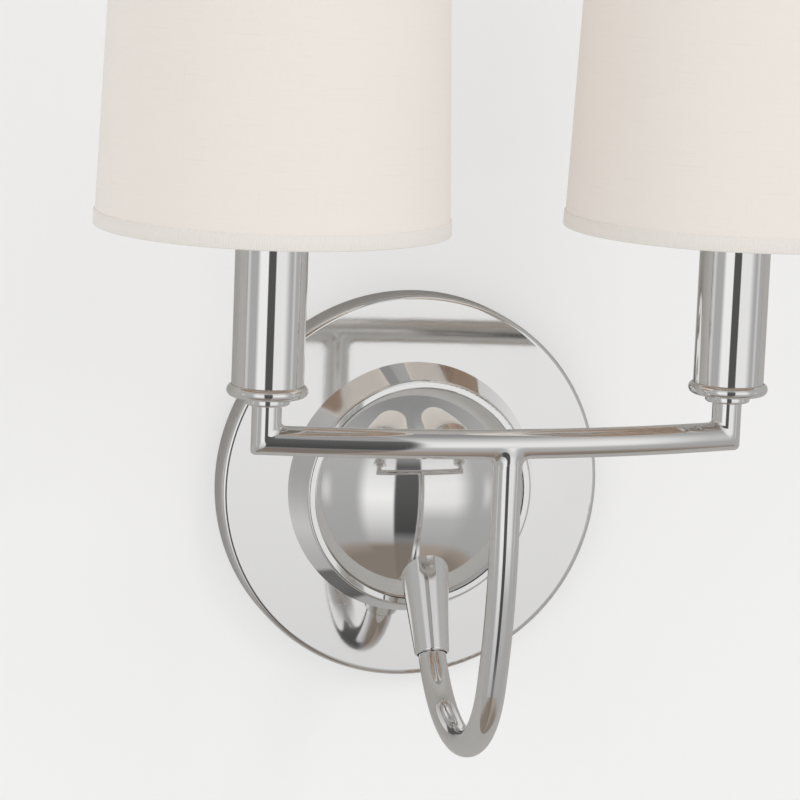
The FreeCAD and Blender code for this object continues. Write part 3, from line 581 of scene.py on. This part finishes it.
def linen(name, colour, slub_colour):
    graph, place = finish(name)
    around, up = round_and_up(graph, place)
    turn = 2 * math.pi / THREAD_PITCH
    weft = graph.maths("SINE", up * turn)
    warp = graph.maths("SINE", around * turn)
    weave = weft * warp * 0.5 + 0.5
    along = graph.node("ShaderNodeCombineXYZ", None,
                       {0: around * SLUB_ALONG, 1: up * SLUB_ACROSS})
    upright = graph.node("ShaderNodeCombineXYZ", None,
                         {0: around * SLUB_ACROSS, 1: up * SLUB_ALONG})
    slub = (graph.rise(graph.noise(along, 1.0, 2.0), 0.55, 0.8)
            + graph.rise(graph.noise(upright, 1.0, 2.0), 0.6, 0.85))
    cloud = graph.noise(place, 35.0, 2.0)
    shade = slub * 0.45 + (1 - weave) * 0.25 + cloud * 0.2
    height = weave * 0.5 + slub * 0.5
    shader = graph.node(SHADER, None, {
        "Base Color": graph.mix_colour(shade, colour, slub_colour), "Roughness": 0.9,
        "Specular IOR Level": 0.25, "Sheen Weight": 0.15, "Sheen Roughness": 0.5,
        "Normal": bump(graph, height, 0.35, 0.12 * MM)})
    return end_finish(graph, shader)


def tape(name):
    graph, place = finish(name)
    around, up = round_and_up(graph, place)
    thread = graph.maths("SINE", up * (2 * math.pi / TAPE_THREAD_PITCH)) * 0.5 + 0.5
    fuzz = graph.noise(place, 1800.0, 2.0)
    shader = graph.node(SHADER, None, {
        "Base Color": graph.mix_colour(thread * 0.3 + fuzz * 0.4, TAPE, TAPE_GROOVE),
        "Roughness": 0.85, "Specular IOR Level": 0.25,
        "Sheen Weight": 0.15, "Normal": bump(graph, thread, 0.25, 0.06 * MM)})
    return end_finish(graph, shader)


def liner(name):
    graph, place = finish(name)
    cloud = graph.noise(place, 50.0, 3.0)
    # the warm base colour paints the glow inside the shade
    shader = graph.node(SHADER, None, {
        "Base Color": graph.mix_colour(cloud * 0.3, LINER_PAINTED_GLOW, LINEN_SLUB),
        "Roughness": 0.5 + cloud * 0.15, "Normal": bump(graph, cloud, 0.1, 0.05 * MM)})
    return end_finish(graph, shader)


linen_cloth = linen("shade_linen_cloth", LINEN, LINEN_SLUB)
tape_cloth = tape("shade_tape_cloth")
liner_with_painted_glow = liner("shade_liner_painted_glow")

# %% [markdown]
# ## Finishes for the ready made parts
# The record says which slot each part takes its finish from. Nickel comes in three kinds
# by how a part is made: most are turned, the plate and the ring are spun, and the arm is a
# tube. The metal that is rebuilt further down gets its kind there.

# %% Hand out the finishes
BY_SLOT = {"polished_nickel": nickel_turned, "zinc_steel": zinc, "brass_parts": brass,
           "green_screw": green_paint, "black_moulding": moulding,
           "clear_glass": clear_glass, "filament": filament_coat, "bulb_cap": cap_metal,
           "shade_linen": linen_cloth, "shade_tape": tape_cloth, "shade_wire": wire_coat}
BY_NAME = {"backplate": nickel_spun, "step_ring": nickel_spun, "hook_arm": nickel_tube}

for part in frame["record"]["subparts"]:
    chosen = BY_NAME.get(part["node"], BY_SLOT[part["material_slot"]])
    for material_slot in nodes[part["node"]].material_slots:
        material_slot.material = chosen
print("finishes", len(bpy.data.materials))

# %% [markdown]
# ## Turning a profile
# Shades, hems, threads and bulb caps are all round, so one helper turns a closed profile
# of (radius, height) pairs. It can push each point in or out by its angle, which is what
# makes ribs, threads and a seam real shapes and not painted ones.

# %% Turned pieces
GLUE = 0.02 * MM                    # between two pieces that are glued or brazed
SAME_POINT = 0.001 * MM             # points closer than this are welded


def axis_of(node):
    """The upright axis through a node's middle, as a point at height 0."""
    low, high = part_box(node)
    return Vector(((low.x + high.x) / 2, (low.y + high.y) / 2, 0.0))


def piece(name, mesh, place, material, body, sharp=35.0):
    mesh.materials.append(material)
    shown = in_scene(name, mesh)
    shown.location = place
    mesh.shade_smooth()
    mesh.set_sharp_from_angle(angle=math.radians(sharp))
    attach(shown, body)
    print(name, len(mesh.polygons), "faces")
    return shown


def closed_mesh(name, points, faces, weld=False):
    """A mesh whose faces all look outward, with doubled points welded if asked."""
    mesh = bpy.data.meshes.new(name)
    mesh.from_pydata(points, [], faces)
    builder = bmesh.new()
    builder.from_mesh(mesh)
    if weld:
        bmesh.ops.remove_doubles(builder, verts=builder.verts, dist=SAME_POINT)
    bmesh.ops.recalc_face_normals(builder, faces=builder.faces)
    builder.to_mesh(mesh)
    builder.free()
    return mesh


def turned_mesh(name, profile, angles, shape=None):
    """Turn a closed profile, listed anticlockwise, through the angles of one full turn.

    shape(index, radius, height, angle) gives the moved radius and height of a point.
    """
    points, faces = [], []
    count = len(profile)
    for angle in angles:
        for index, (radius, height) in enumerate(profile):
            if shape:
                radius, height = shape(index, radius, height, angle)
            points.append((radius * math.cos(angle), radius * math.sin(angle), height))
    for k in range(len(angles)):
        here, after = k * count, (k + 1) % len(angles) * count
        for i in range(count):
            j = (i + 1) % count
            faces.append((here + i, after + i, after + j, here + j))
    return closed_mesh(name, points, faces, weld=True)


def even_turn(steps):
    return [2 * math.pi * k / steps for k in range(steps)]


def round_rod(mesh_builder, start, end, radius, steps):
    """Adds a closed round rod between two points."""
    along = end - start
    turn = along.to_track_quat("Z", "Y").to_matrix().to_4x4()
    made = bmesh.ops.create_cone(mesh_builder, cap_ends=True, segments=steps,
                                 radius1=radius, radius2=radius, depth=along.length)
    bmesh.ops.transform(mesh_builder, verts=made["verts"],
                        matrix=Matrix.Translation((start + end) / 2) @ turn)


def mesh_from(name, builder):
    mesh = bpy.data.meshes.new(name)
    builder.to_mesh(mesh)
    builder.free()
    return mesh


def rods_mesh(name, runs, radius, steps=12):
    builder = bmesh.new()
    for start, end in runs:
        round_rod(builder, Vector(start), Vector(end), radius, steps)
    return mesh_from(name, builder)


# %% [markdown]
# ## The bar and its corners
# The bar and its two risers are three tubes, but they are brazed at a mitre and polished
# until the joint is one skin: a dark reflection runs down the riser and bends into the bar.
# A sweep can't turn tighter than its own radius. So each straight line along the tube's
# surface gets its own small round where it turns the corner, and all the lines together
# make the skin. Angles round the tube start at the corner's inside, the top of the bar.

# %% Crossbar skin
TUBE_SIDES = 96
TUBE_WALL = 1.0 * MM
BAR_END_STRAIGHT = 9.0 * MM
CORNER_ROUND = 1.5 * MM
CORNER_STEPS = 12
BOW_STEPS = 64
UP = Vector((0, 0, 1))

bar_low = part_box("crossbar")[0]
riser_low, riser_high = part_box("left_riser")
tube_radius = (riser_high.x - riser_low.x) / 2
bar_height = bar_low.z + tube_radius
bar_front = bar_low.y + tube_radius
left_corner = Vector(((riser_low.x + riser_high.x) / 2, (riser_low.y + riser_high.y) / 2,
                      bar_height))
bow_turn = 2 * math.atan((left_corner.y - bar_front) / (BAR_END_STRAIGHT - left_corner.x))
bow_radius = (-left_corner.x - BAR_END_STRAIGHT * math.cos(bow_turn)) / math.sin(bow_turn)
print("bow radius in mm", round(bow_radius / MM, 2))


def bow_point(turn):
    """The bar's axis at an angle from its middle, and the direction out of the bow."""
    outward = Vector((math.sin(turn), -math.cos(turn), 0))
    return Vector((0, bar_front + bow_radius, bar_height)) + outward * bow_radius, outward


def skin_rings(radius):
    """Rings of points from the left riser's end to the right riser's end."""
    inward = Vector((math.cos(bow_turn), -math.sin(bow_turn), 0))
    outward = bow_point(-bow_turn)[1]
    round_tube = even_turn(TUBE_SIDES)
    bends = [left_corner + (inward + UP) * (radius * math.cos(a))
             + outward * (radius * math.sin(a)) for a in round_tube]
    rings = [[Vector((p.x, p.y, riser_high.z)) for p in bends]]
    for step in range(CORNER_STEPS + 1):
        turn = math.pi / 2 * step / CORNER_STEPS
        way = (inward * (1 - math.cos(turn)) + UP * (1 - math.sin(turn))) * CORNER_ROUND
        rings.append([p + way for p in bends])
    left_half = list(rings)
    for step in range(BOW_STEPS + 1):
        middle, outward = bow_point(bow_turn * (2 * step / BOW_STEPS - 1))
        rings.append([middle + UP * (radius * math.cos(a)) + outward * (radius * math.sin(a))
                      for a in round_tube])
    for ring in reversed(left_half):
        rings.append([Vector((-p.x, p.y, p.z)) for p in ring])
    return rings


def mesh_of_rings(name, rings):
    """A closed skin over rings that come back to the first one."""
    points = [p for ring in rings for p in ring]
    sides = len(rings[0])
    faces = []
    for k in range(len(rings)):
        here, after = k * sides, (k + 1) % len(rings) * sides
        for i in range(sides):
            j = (i + 1) % sides
            faces.append((here + i, here + j, after + j, after + i))
    return closed_mesh(name, points, faces)


def make_bar():
    rings = skin_rings(tube_radius) + skin_rings(tube_radius - TUBE_WALL)[::-1]
    bar = piece("crossbar_skin", mesh_of_rings("crossbar_skin", rings), (0, 0, 0), nickel_tube,
                "fixture", sharp=50.0)
    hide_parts("crossbar", "left_riser", "right_riser")


make_bar()

# %% [markdown]
# ## The tee
# Where the arm meets the bar, braze fills the corner and the polisher's wheel blends it, so
# that no line is left. Two tubes can be blended by their distances: near both, the smaller
# distance is rounded off, more where the tubes cross square and not at all in front, where
# they are flush. The points start on the sharp corner and move to where the blended
# distance is zero. The normals come from the same sum, which keeps the mirror smooth.

# %% Tee
TEE_ROUND = 3.0 * MM
TEE_REACH = 5.0 * MM
TEE_ROWS = 14
TEE_SIDES = 120
TEE_PROUD = 0.015 * MM
TEE_DEPTH = 0.4 * MM                # of the piece's inside, under the tubes' own skin
PROBE = 0.01 * MM
SETTLE_STEPS = 8
NEARLY_FLUSH = 1e-6
FLATTEST = 0.2                      # keeps a step short where two slopes cancel


def bar_distance(point):
    across = math.hypot(point.x, point.y - bar_front - bow_radius) - bow_radius
    return math.hypot(across, point.z - bar_height) - tube_radius


def arm_distance(point):
    return math.hypot(point.x, point.y - bar_front) - tube_radius


def slope(distance, point):
    """How a distance grows along x, y and z."""
    return Vector([(distance(point + step) - distance(point - step)) / (2 * PROBE)
                   for step in (Vector((PROBE, 0, 0)), Vector((0, PROBE, 0)),
                                Vector((0, 0, PROBE)))])


def blended_distance(point):
    to_bar, to_arm = bar_distance(point), arm_distance(point)
    flush = slope(bar_distance, point).dot(slope(arm_distance, point))
    width = TEE_ROUND * math.sqrt(max(1 - flush, NEARLY_FLUSH))
    overlap = max(width - abs(to_bar - to_arm), 0) / width
    return min(to_bar, to_arm) - overlap * overlap * width / 4


def settle(point):
    for _ in range(SETTLE_STEPS):
        up_hill = slope(blended_distance, point)
        steepness = max(up_hill.length_squared, FLATTEST)
        point = point - up_hill * (blended_distance(point) / steepness)
    return point


def make_tee():
    rings = []
    for row in range(-TEE_ROWS, TEE_ROWS + 1):
        reach = TEE_REACH * row / TEE_ROWS
        ring = []
        for k in range(TEE_SIDES):
            turn = 2 * math.pi * (k + 0.5) / TEE_SIDES
            x, y = tube_radius * math.cos(turn), bar_front + tube_radius * math.sin(turn)
            z = bar_height - abs(x) + min(reach, 0)
            ring.append(settle(Vector((x + math.copysign(max(reach, 0), x), y, z))))
        rings.append(ring)
    normals = [[slope(blended_distance, p).normalized() for p in ring] for ring in rings]
    outer = [[p + n * TEE_PROUD for p, n in zip(ring, ns)] for ring, ns in zip(rings, normals)]
    inner = [[p - n * TEE_DEPTH for p, n in zip(ring, ns)] for ring, ns in zip(rings, normals)]
    mesh = mesh_of_rings("arm_tee_skin", outer + inner[::-1])
    tee = piece("arm_tee_skin", mesh, (0, 0, 0), nickel_tube, "fixture")
    shown = [n for ns in normals for n in ns] + [-n for ns in normals[::-1] for n in ns]
    mesh.normals_split_custom_set_from_vertices(shown)
    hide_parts("arm_braze")


make_tee()

# %% [markdown]
# ## Arcs and cuts
# The next pieces are turned from outlines with round corners, and some are cut. One helper
# lists the points of an arc. The other takes one form out of another with the Boolean
# modifier, as a drill or a saw does.

# %% An arc and a cut
def arc(centre, radius, start, end, steps=8):
    """(radius, height) pairs along an arc, angles in degrees."""
    turns = [math.radians(start + (end - start) * k / steps) for k in range(steps + 1)]
    return [(centre[0] + radius * math.cos(t), centre[1] + radius * math.sin(t)) for t in turns]


def minus(mesh, cutter):
    """The mesh without what lies in the cutter."""
    work, tool = in_scene("to_cut", mesh), in_scene("cutter", cutter)
    cut = work.modifiers.new("cope", "BOOLEAN")
    cut.operation, cut.object, cut.solver = "DIFFERENCE", tool, "EXACT"
    made = bpy.data.meshes.new_from_object(work.evaluated_get(
        bpy.context.evaluated_depsgraph_get()))
    for thing in (work, tool):
        bpy.data.objects.remove(thing)
    return made


# %% [markdown]
# ## The dome
# The dome is one spun sheet and the brightest mirror on the light, so a fault of a tenth of
# a millimetre shows on it. It is turned again here with rows that close evenly on its top.
# The hole for the nipple is cut square to the dome, under the ferrule.

# %% Dome
DOME_RISE = 20.2 * MM
DOME_WALL = 1.0 * MM
DOME_FLANGE = 1.3 * MM              # round the dome's edge, under the ring
DOME_ROWS = 48
DOME_SEGMENTS = 256
NIPPLE_AIM = Vector((0, -38.3, -28.9)) * MM         # the nipple's axis passes through it
NIPPLE_HOLE = 4.95 * MM
DRILL_SIDES = 64

dome_low, dome_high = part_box("dome_cap")
dome_edge = (dome_high.x - dome_low.x) / 2 - DOME_FLANGE
dome_radius = (dome_edge ** 2 + DOME_RISE ** 2) / (2 * DOME_RISE)
dome_centre = Vector((0, dome_low.y + dome_radius, 0))
print("dome radius in mm", round(dome_radius / MM, 2))


def dome_ball():
    """A ball as large as the one the dome is a part of."""
    builder = bmesh.new()
    bmesh.ops.create_uvsphere(builder, u_segments=DOME_SEGMENTS, v_segments=DOME_SEGMENTS // 2,
                              radius=dome_radius)
    bmesh.ops.translate(builder, verts=builder.verts, vec=dome_centre)
    return mesh_from("dome_ball", builder)


def make_dome():
    """Heights of the profile are distances from the wall; it is turned to face the room."""
    middle = -dome_centre.y
    inner_edge, inner_radius = dome_edge - DOME_WALL, dome_radius - DOME_WALL
    turn = math.degrees(math.acos(dome_edge / dome_radius))
    inner_turn = math.degrees(math.acos(inner_edge / inner_radius))
    back = -dome_high.y
    under = back + DOME_WALL
    outline = arc((0, middle), inner_radius, 90, inner_turn, DOME_ROWS)
    outline += [(inner_edge, back), (dome_edge + DOME_FLANGE, back),
                (dome_edge + DOME_FLANGE, under), (dome_edge, under)]
    outline += arc((0, middle), dome_radius, turn, 90, DOME_ROWS)
    blank = turned_mesh("dome", outline, even_turn(DOME_SEGMENTS))
    blank.transform(Matrix.Rotation(math.pi / 2, 4, "X"))
    way = (NIPPLE_AIM - dome_centre).normalized()
    run = (dome_centre + way * dome_radius / 2, dome_centre + way * dome_radius * 2)
    drill = rods_mesh("nipple_drill", [run], NIPPLE_HOLE, DRILL_SIDES)
    dome = piece("spun_dome", minus(blank, drill), (0, 0, 0), nickel_spun, "fixture")
    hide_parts("dome_cap")


make_dome()

# %% [markdown]
# ## The ferrule
# The ferrule is a straight turned taper that runs right into the dome. It is turned about
# its own leaning axis, too long, and then a ball of the dome's size is taken away from it,
# which copes its root to the dome. A line of sight that the dome turns down leans out more
# than the ferrule's front does, so the dome shows no second ferrule above it. The wires
# come down its middle. The arm is seated in its mouth: the tube's bend starts there, its
# upper end leans less than the ferrule, and the bore widens further in to leave it room.

# %% Ferrule
FERRULE_LEAN = math.radians(29.0)
FERRULE_MOUTH = Vector((0, -49.1, -52.8)) * MM      # the arm's axis passes through it
FERRULE_LONG = 36.0 * MM            # before it is coped
FERRULE_END = 6.15 * MM
FERRULE_TAPER = 0.081
MOUTH_EDGE = 0.7 * MM
MOUTH_STEPS = 6
MOUTH_RADIUS = 5.3 * MM
MOUTH_DEEP = 10.0 * MM
SEAT_RADIUS = 6.6 * MM
SEAT_DEEP = 19.5 * MM
WIRE_WAY = 3.3 * MM


def make_ferrule():
    top = FERRULE_END + FERRULE_TAPER * FERRULE_LONG
    outline = arc((FERRULE_END - MOUTH_EDGE, MOUTH_EDGE), MOUTH_EDGE, -90, 0, MOUTH_STEPS)
    outline += [(top, FERRULE_LONG), (WIRE_WAY, FERRULE_LONG), (WIRE_WAY, SEAT_DEEP),
                (SEAT_RADIUS, SEAT_DEEP), (MOUTH_RADIUS, MOUTH_DEEP), (MOUTH_RADIUS, 0)]
    blank = turned_mesh("ferrule", outline, even_turn(TUBE_SIDES))
    blank.transform(Matrix.Translation(FERRULE_MOUTH)
                    @ Matrix.Rotation(-FERRULE_LEAN, 4, "X"))
    ferrule = piece("coped_ferrule", minus(blank, dome_ball()), (0, 0, 0), nickel_tube,
                    "fixture")
    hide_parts("arm_ferrule")
    front_lean = math.degrees(FERRULE_LEAN - math.atan(FERRULE_TAPER))
    print("the ferrule's front leans, degrees", round(front_lean, 1))


make_ferrule()

# %% [markdown]
# ## Collars and the lock screw
# A small soft ring is brazed on each riser, and the candle's pan sits on it. The screw that
# locks the plate on its strap has no head: it goes up through the plate's lowest point until
# it is flush, and only its saw cut is left to see.

# %% Collars and lock screw
COLLAR_RADIUS = 7.5 * MM
COLLAR_TALL = 2.6 * MM
COLLAR_SOFT = 0.8 * MM
SCREW_RADIUS = 2.0 * MM
SCREW_LONG = 7.0 * MM
SCREW_SIDES = 48
CUT_WIDE = 1.0 * MM
CUT_DEEP = 0.9 * MM


def make_collar(side):
    node = side + "_collar"
    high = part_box(node)[1].z
    low, soft, bore = high - COLLAR_TALL, COLLAR_SOFT, tube_radius + GLUE
    outline = [(bore, low)]
    outline += arc((COLLAR_RADIUS - soft, low + soft), soft, -90, 0)
    outline += arc((COLLAR_RADIUS - soft, high - soft), soft, 0, 90)
    outline += [(bore, high)]
    name = side + "_soft_collar"
    collar = piece(name, turned_mesh(name, outline, even_turn(TUBE_SIDES)), axis_of(node),
                   nickel_turned, "fixture")
    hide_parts(node)


def make_lock_screw():
    place = axis_of("lock_screw")
    plate_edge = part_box("backplate")[0].z
    foot, top = place + UP * plate_edge, place + UP * (plate_edge + SCREW_LONG)
    blank = rods_mesh("screw_blank", [(foot, top)], SCREW_RADIUS, SCREW_SIDES)
    builder = bmesh.new()
    bmesh.ops.create_cube(builder, size=1.0)
    bmesh.ops.scale(builder, verts=builder.verts, vec=(4 * SCREW_RADIUS, CUT_WIDE, 2 * CUT_DEEP))
    bmesh.ops.translate(builder, verts=builder.verts, vec=foot)
    sawn = minus(blank, mesh_from("saw_cut", builder))
    screw = piece("flush_lock_screw", sawn, (0, 0, 0), nickel_turned, "fixture")
    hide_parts("lock_screw")


for side in SIDES:
    make_collar(side)
make_lock_screw()

# %% [markdown]
# ## The shades
# A hard drum shade is linen glued round a stiff liner, with one seam where the cloth's
# ends lap, at the back. The cloth is a closed sleeve with a slight waviness, and the lap
# is a real step, pressed a little thinner than the cloth. The liner is a sheet of its own.

# %% Linen sleeve and liner
LINEN_THICK = 0.45 * MM
LINER_THICK = 0.3 * MM
LAP_WIDTH = 11.0 * MM
LAP_RISE = 0.3 * MM
LAP_EDGE = 0.12 * MM                # how quickly the lap's edge steps down
WAVINESS = 0.07 * MM
WAVE_MEAN, WAVE_SWING = 0.6, 0.4    # shares of the waviness
SHADE_STEPS = 240
SHADE_ROWS = 16
WAVE_COUNTS = (2, 3, 5, 9)
SAME_ANGLE = 1e-6


def shade_sizes(side):
    """The bare cloth's radius at its foot, how fast it narrows, and its two heights."""
    low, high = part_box(side + "_shade_fabric")
    top_low, top_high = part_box(side + "_shade_hem_top")
    bottom_low, bottom_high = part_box(side + "_shade_hem_low")
    narrower = ((bottom_high.x - bottom_low.x) - (top_high.x - top_low.x)) / 2
    return (high.x - low.x) / 2, narrower / (top_low.z - bottom_low.z), low.z, high.z


def lap_angles(radius):
    """Even steps, and four more where the lap's two edges are."""
    half = LAP_WIDTH / 2 / radius
    edge = LAP_EDGE / radius
    middle = math.pi / 2
    extra = [middle - half - edge, middle - half, middle + half, middle + half + edge]
    return sorted(even_turn(SHADE_STEPS) + extra)


def make_linen(side):
    foot, taper, low, high = shade_sizes(side)
    rows = [low + (high - low) * k / SHADE_ROWS for k in range(SHADE_ROWS + 1)]
    profile = [(foot - taper * (z - low), z) for z in rows]
    profile += [(foot - taper * (z - low) - LINEN_THICK, z) for z in (high, low)]
    phases = [random.uniform(0, 2 * math.pi) for _ in WAVE_COUNTS]
    half = LAP_WIDTH / 2 / foot + SAME_ANGLE

    def shape(index, radius, height, angle):
        if index > SHADE_ROWS:
            return radius, height
        share = (height - low) / (high - low)
        middle = math.sin(math.pi * share)
        wave = sum(math.sin(n * angle + p + 2 * share) / n
                   for n, p in zip(WAVE_COUNTS, phases))
        lap = LAP_RISE if abs(angle - math.pi / 2) < half else 0.0
        return radius - WAVINESS * middle * (WAVE_MEAN - WAVE_SWING * wave) + lap, height

    name = side + "_shade_cloth"
    cloth = piece(name, turned_mesh(name, profile, lap_angles(foot), shape),
                  axis_of(side + "_shade_fabric"), linen_cloth, side + "_shade")
    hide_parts(side + "_shade_fabric")
    mean = foot - taper * (high - low) / 2
    flat = (2 * math.pi * mean + LAP_WIDTH, high - low)
    print(name, "flat in mm", [round(v / MM, 1) for v in flat])


def make_liner(side):
    foot, taper, low, high = shade_sizes(side)
    inside = LINEN_THICK + GLUE
    profile = [(foot - taper * (z - low) - inside, z) for z in (low, high)]
    profile += [(r - LINER_THICK, z) for r, z in reversed(profile)]
    name = side + "_shade_liner"
    piece(name, turned_mesh(name, profile, even_turn(SHADE_STEPS)),
          axis_of(side + "_shade_fabric"), liner_with_painted_glow, side + "_shade")


for side in SIDES:
    make_linen(side)
    make_liner(side)

# %% [markdown]
# ## Ribbed trim tape
# Each edge of a shade is bound with grosgrain: a ribbed tape, glued over the outside,
# round the edge and up behind the rim wire. Its ribs stand upright, a little under a
# millimetre apart, and are raised in the mesh, so that they also show in outline.

# %% Hems
HEM_THICK = 0.4 * MM
HEM_TALL = 5.0 * MM
RIB_PITCH = 0.85 * MM
RIB_HIGH = 0.13 * MM
RIB_SAMPLES = 4
RIB_MEAN = 0.7                      # share of a rib's height inside the tape's own radius
SMOOTH_FOOT = 2.0 * MM              # up to the second row of the tape's outside
WIRE_TO_FOLD = 2.1 * MM             # from the rim wire's outside to the tape behind it
FOLD_TALL = 2.2 * MM


def make_tape(side, edge):
    """One hem, from the frame's own sizes for it."""
    node = f"{side}_shade_hem_{edge}"
    low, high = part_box(node)
    foot, taper, cloth_low = shade_sizes(side)[:3]
    up = 1 if edge == "low" else -1
    start = low.z if edge == "low" else high.z

    def cloth(z):
        return foot - taper * (z - cloth_low)

    wire_low, wire_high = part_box(f"{side}_shade_ring_{edge}")
    inner = (wire_high.x - wire_low.x) / 2 - WIRE_TO_FOLD
    t = HEM_THICK
    tip = start + up * HEM_TALL
    outside = [(cloth(start) + t * 0.2, start), (cloth(start) + t * 0.75, start + up * t * 0.3),
               (cloth(start + up * t) + t, start + up * t)]
    outside += [(cloth(z) + t, z) for z in (start + up * SMOOTH_FOOT, tip - up * t * 0.4)]
    outside += [(cloth(tip) + t * 0.6, tip)]
    under = [(inner + t * 0.2, start), (inner - t * 0.2, start + up * t * 0.4),
             (inner - t * 0.2, start + up * FOLD_TALL), (inner, start + up * FOLD_TALL),
             (inner, start + up * t)]
    hidden = [(cloth(z) + GLUE, z) for z in (tip, start + up * t)]
    ring = outside + hidden + under[::-1]
    if up < 0:
        ring = ring[::-1]
    ribbed = {i for i, p in enumerate(ring) if p in outside}
    ribs = round(2 * math.pi * cloth(start) / RIB_PITCH)

    def shape(index, radius, height, angle):
        if index not in ribbed:
            return radius, height
        crest = math.sqrt(abs(math.cos(ribs * angle / 2)))
        return radius + RIB_HIGH * (crest - RIB_MEAN), height

    name = f"{side}_shade_tape_{edge}"
    made = piece(name, turned_mesh(name, ring, even_turn(ribs * RIB_SAMPLES), shape),
                 axis_of(node), tape_cloth, side + "_shade", sharp=60.0)
    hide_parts(node)
    return ribs


for side in SIDES:
    for edge in ("low", "top"):
        ribs_made = make_tape(side, edge)
print("ribs on each tape", ribs_made)

# %% [markdown]
# ## Threads
# A bulb screws into its shell, so both have the round thread of a small lamp base. The
# thread is a wave in the radius that climbs by one pitch in one turn, and fades out at
# both ends.

# %% Bulb caps and screw shells
CAP_PITCH = 2.54 * MM
CAP_DEPTH = 0.42 * MM
THREAD_STEPS = 72
ROWS_PER_TURN = 8
CAP_SKIRT = 5.0 * MM                # smooth part below the glass
TIP_TALL = 1.0 * MM
TIP_SHARE = 0.4                     # of the cap's radius
TIP_SIDES = 36
INSULATOR_TALL = 2.0 * MM
INSULATOR_SIDES = 48
CAP_WALL = 1.2 * MM
CAP_LIP, CAP_LIP_TALL = 0.3 * MM, 0.6 * MM
SHELL_WALL = 0.35 * MM
SHELL_DEPTH = 0.18 * MM             # of the shell's own thread


def thread(height, angle, low, high, pitch, depth):
    """How far a thread's surface lies inside its crest."""
    fade = min(1.0, max(0.0, (height - low) / pitch), max(0.0, (high - height) / pitch))
    wave = 0.5 - 0.5 * math.cos(2 * math.pi * height / pitch - angle)
    return depth * fade * wave


def rows_between(low, high, pitch):
    count = max(2, round((high - low) / pitch * ROWS_PER_TURN))
    return [low + (high - low) * k / count for k in range(count + 1)]


def make_cap(side):
    """The bulb's screw cap, its black insulator and its solder tip."""
    node = side + "_bulb_base"
    low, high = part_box(node)
    radius = (high.x - low.x) / 2
    start = low.z + TIP_TALL + INSULATOR_TALL
    end = high.z - CAP_SKIRT
    rows = rows_between(start, end, CAP_PITCH)
    outer = [(radius - CAP_DEPTH * 0.5, start)] + [(radius, z) for z in rows[1:]]
    outer += [(radius, high.z - CAP_LIP_TALL), (radius - CAP_LIP, high.z)]
    inner = [(radius - CAP_WALL, high.z), (radius - CAP_WALL, start)]

    def shape(index, r, z, angle):
        if index >= len(outer) or z > end:
            return r, z
        return r - thread(z, angle, start, end, CAP_PITCH, CAP_DEPTH), z

    body, place = side + "_bulb", axis_of(node)
    name = side + "_bulb_cap"
    cap = piece(name, turned_mesh(name, outer + inner, even_turn(THREAD_STEPS), shape),
                place, cap_metal, body)
    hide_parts(node)
    tip = radius * TIP_SHARE
    bead = low.z + TIP_TALL
    skirt = [(0, low.z + 1e-5), (tip * 0.6, low.z + 0.05 * MM), (tip * 0.95, low.z + 0.4 * MM),
             (tip, bead), (0, bead)]
    name = side + "_bulb_tip"
    piece(name, turned_mesh(name, skirt, even_turn(TIP_SIDES)), place, cap_metal, body)
    cone = [(0, bead), (tip * 1.15, bead), (radius * 0.72, bead + 0.8 * MM),
            (radius - CAP_DEPTH, start), (radius - 1.0 * MM, start + 0.5 * MM),
            (0, start + 0.5 * MM)]
    name = side + "_bulb_insulator"
    piece(name, turned_mesh(name, cone, even_turn(INSULATOR_SIDES)), place, insulator, body)


def make_shell(side):
    """The lampholder's rolled brass shell, threaded inside and out."""
    node = side + "_screw_shell"
    low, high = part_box(node)
    radius = (high.x - low.x) / 2
    rows = rows_between(low.z, high.z, CAP_PITCH)
    outer = [(radius, z) for z in rows]
    inner = [(radius - SHELL_WALL, z) for z in reversed(rows)]

    def shape(index, r, z, angle):
        return r - thread(z, angle, low.z, high.z, CAP_PITCH, SHELL_DEPTH), z

    name = side + "_rolled_shell"
    shell = piece(name, turned_mesh(name, outer + inner, even_turn(THREAD_STEPS), shape),
                  axis_of(node), brass, "fixture")
    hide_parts(node)


for side in SIDES:
    make_cap(side)
    make_shell(side)

# %% [markdown]
# ## Inside the bulb
# Two coated filament rods hang between fine wires on a flared glass stem.

# %% Filaments, leads and stem
ROD_RADIUS = 0.55 * MM
LEAD_RADIUS = 0.22 * MM
ROD_APART = 3.0 * MM
ROD_FOOT = 12.0 * MM                # above the glass's foot
ROD_TALL = 30.0 * MM
LEAD_APART = 0.8 * MM
LEAD_FOOT = 8.0 * MM                # above the glass's foot
LEADS_MEET = 1.0 * MM               # above the rods
STEM_SIDES = 36
STEM_PROFILE = ((0.0, 0.0), (3.2, 0.0), (2.9, 1.5), (2.1, 5.0), (1.9, 9.0), (1.5, 11.0),
                (0.8, 12.0), (0.0, 12.2))


def make_filaments(side):
    node = side + "_bulb_filament"
    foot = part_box(node)[0].z
    place, body = axis_of(node), side + "_bulb"
    low, high = foot + ROD_FOOT, foot + ROD_FOOT + ROD_TALL
    rods = [((s * ROD_APART, 0, low), (s * ROD_APART, 0, high)) for s in (-1, 1)]
    name = side + "_filament_rods"
    made = piece(name, rods_mesh(name, rods, ROD_RADIUS), place, filament_coat, body)
    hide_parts(node)
    leads = [((s * LEAD_APART, 0, foot + LEAD_FOOT), (s * ROD_APART, 0, low))
             for s in (-1, 1)]
    leads += [((s * ROD_APART, 0, high), (0, 0, high + LEADS_MEET)) for s in (-1, 1)]
    name = side + "_lead_wires"
    piece(name, rods_mesh(name, leads, LEAD_RADIUS), place, cap_metal, body)
    stem = [(r * MM, foot + z * MM) for r, z in STEM_PROFILE]
    name = side + "_glass_stem"
    piece(name, turned_mesh(name, stem, even_turn(STEM_SIDES)), place, clear_glass, body)


for side in SIDES:
    make_filaments(side)
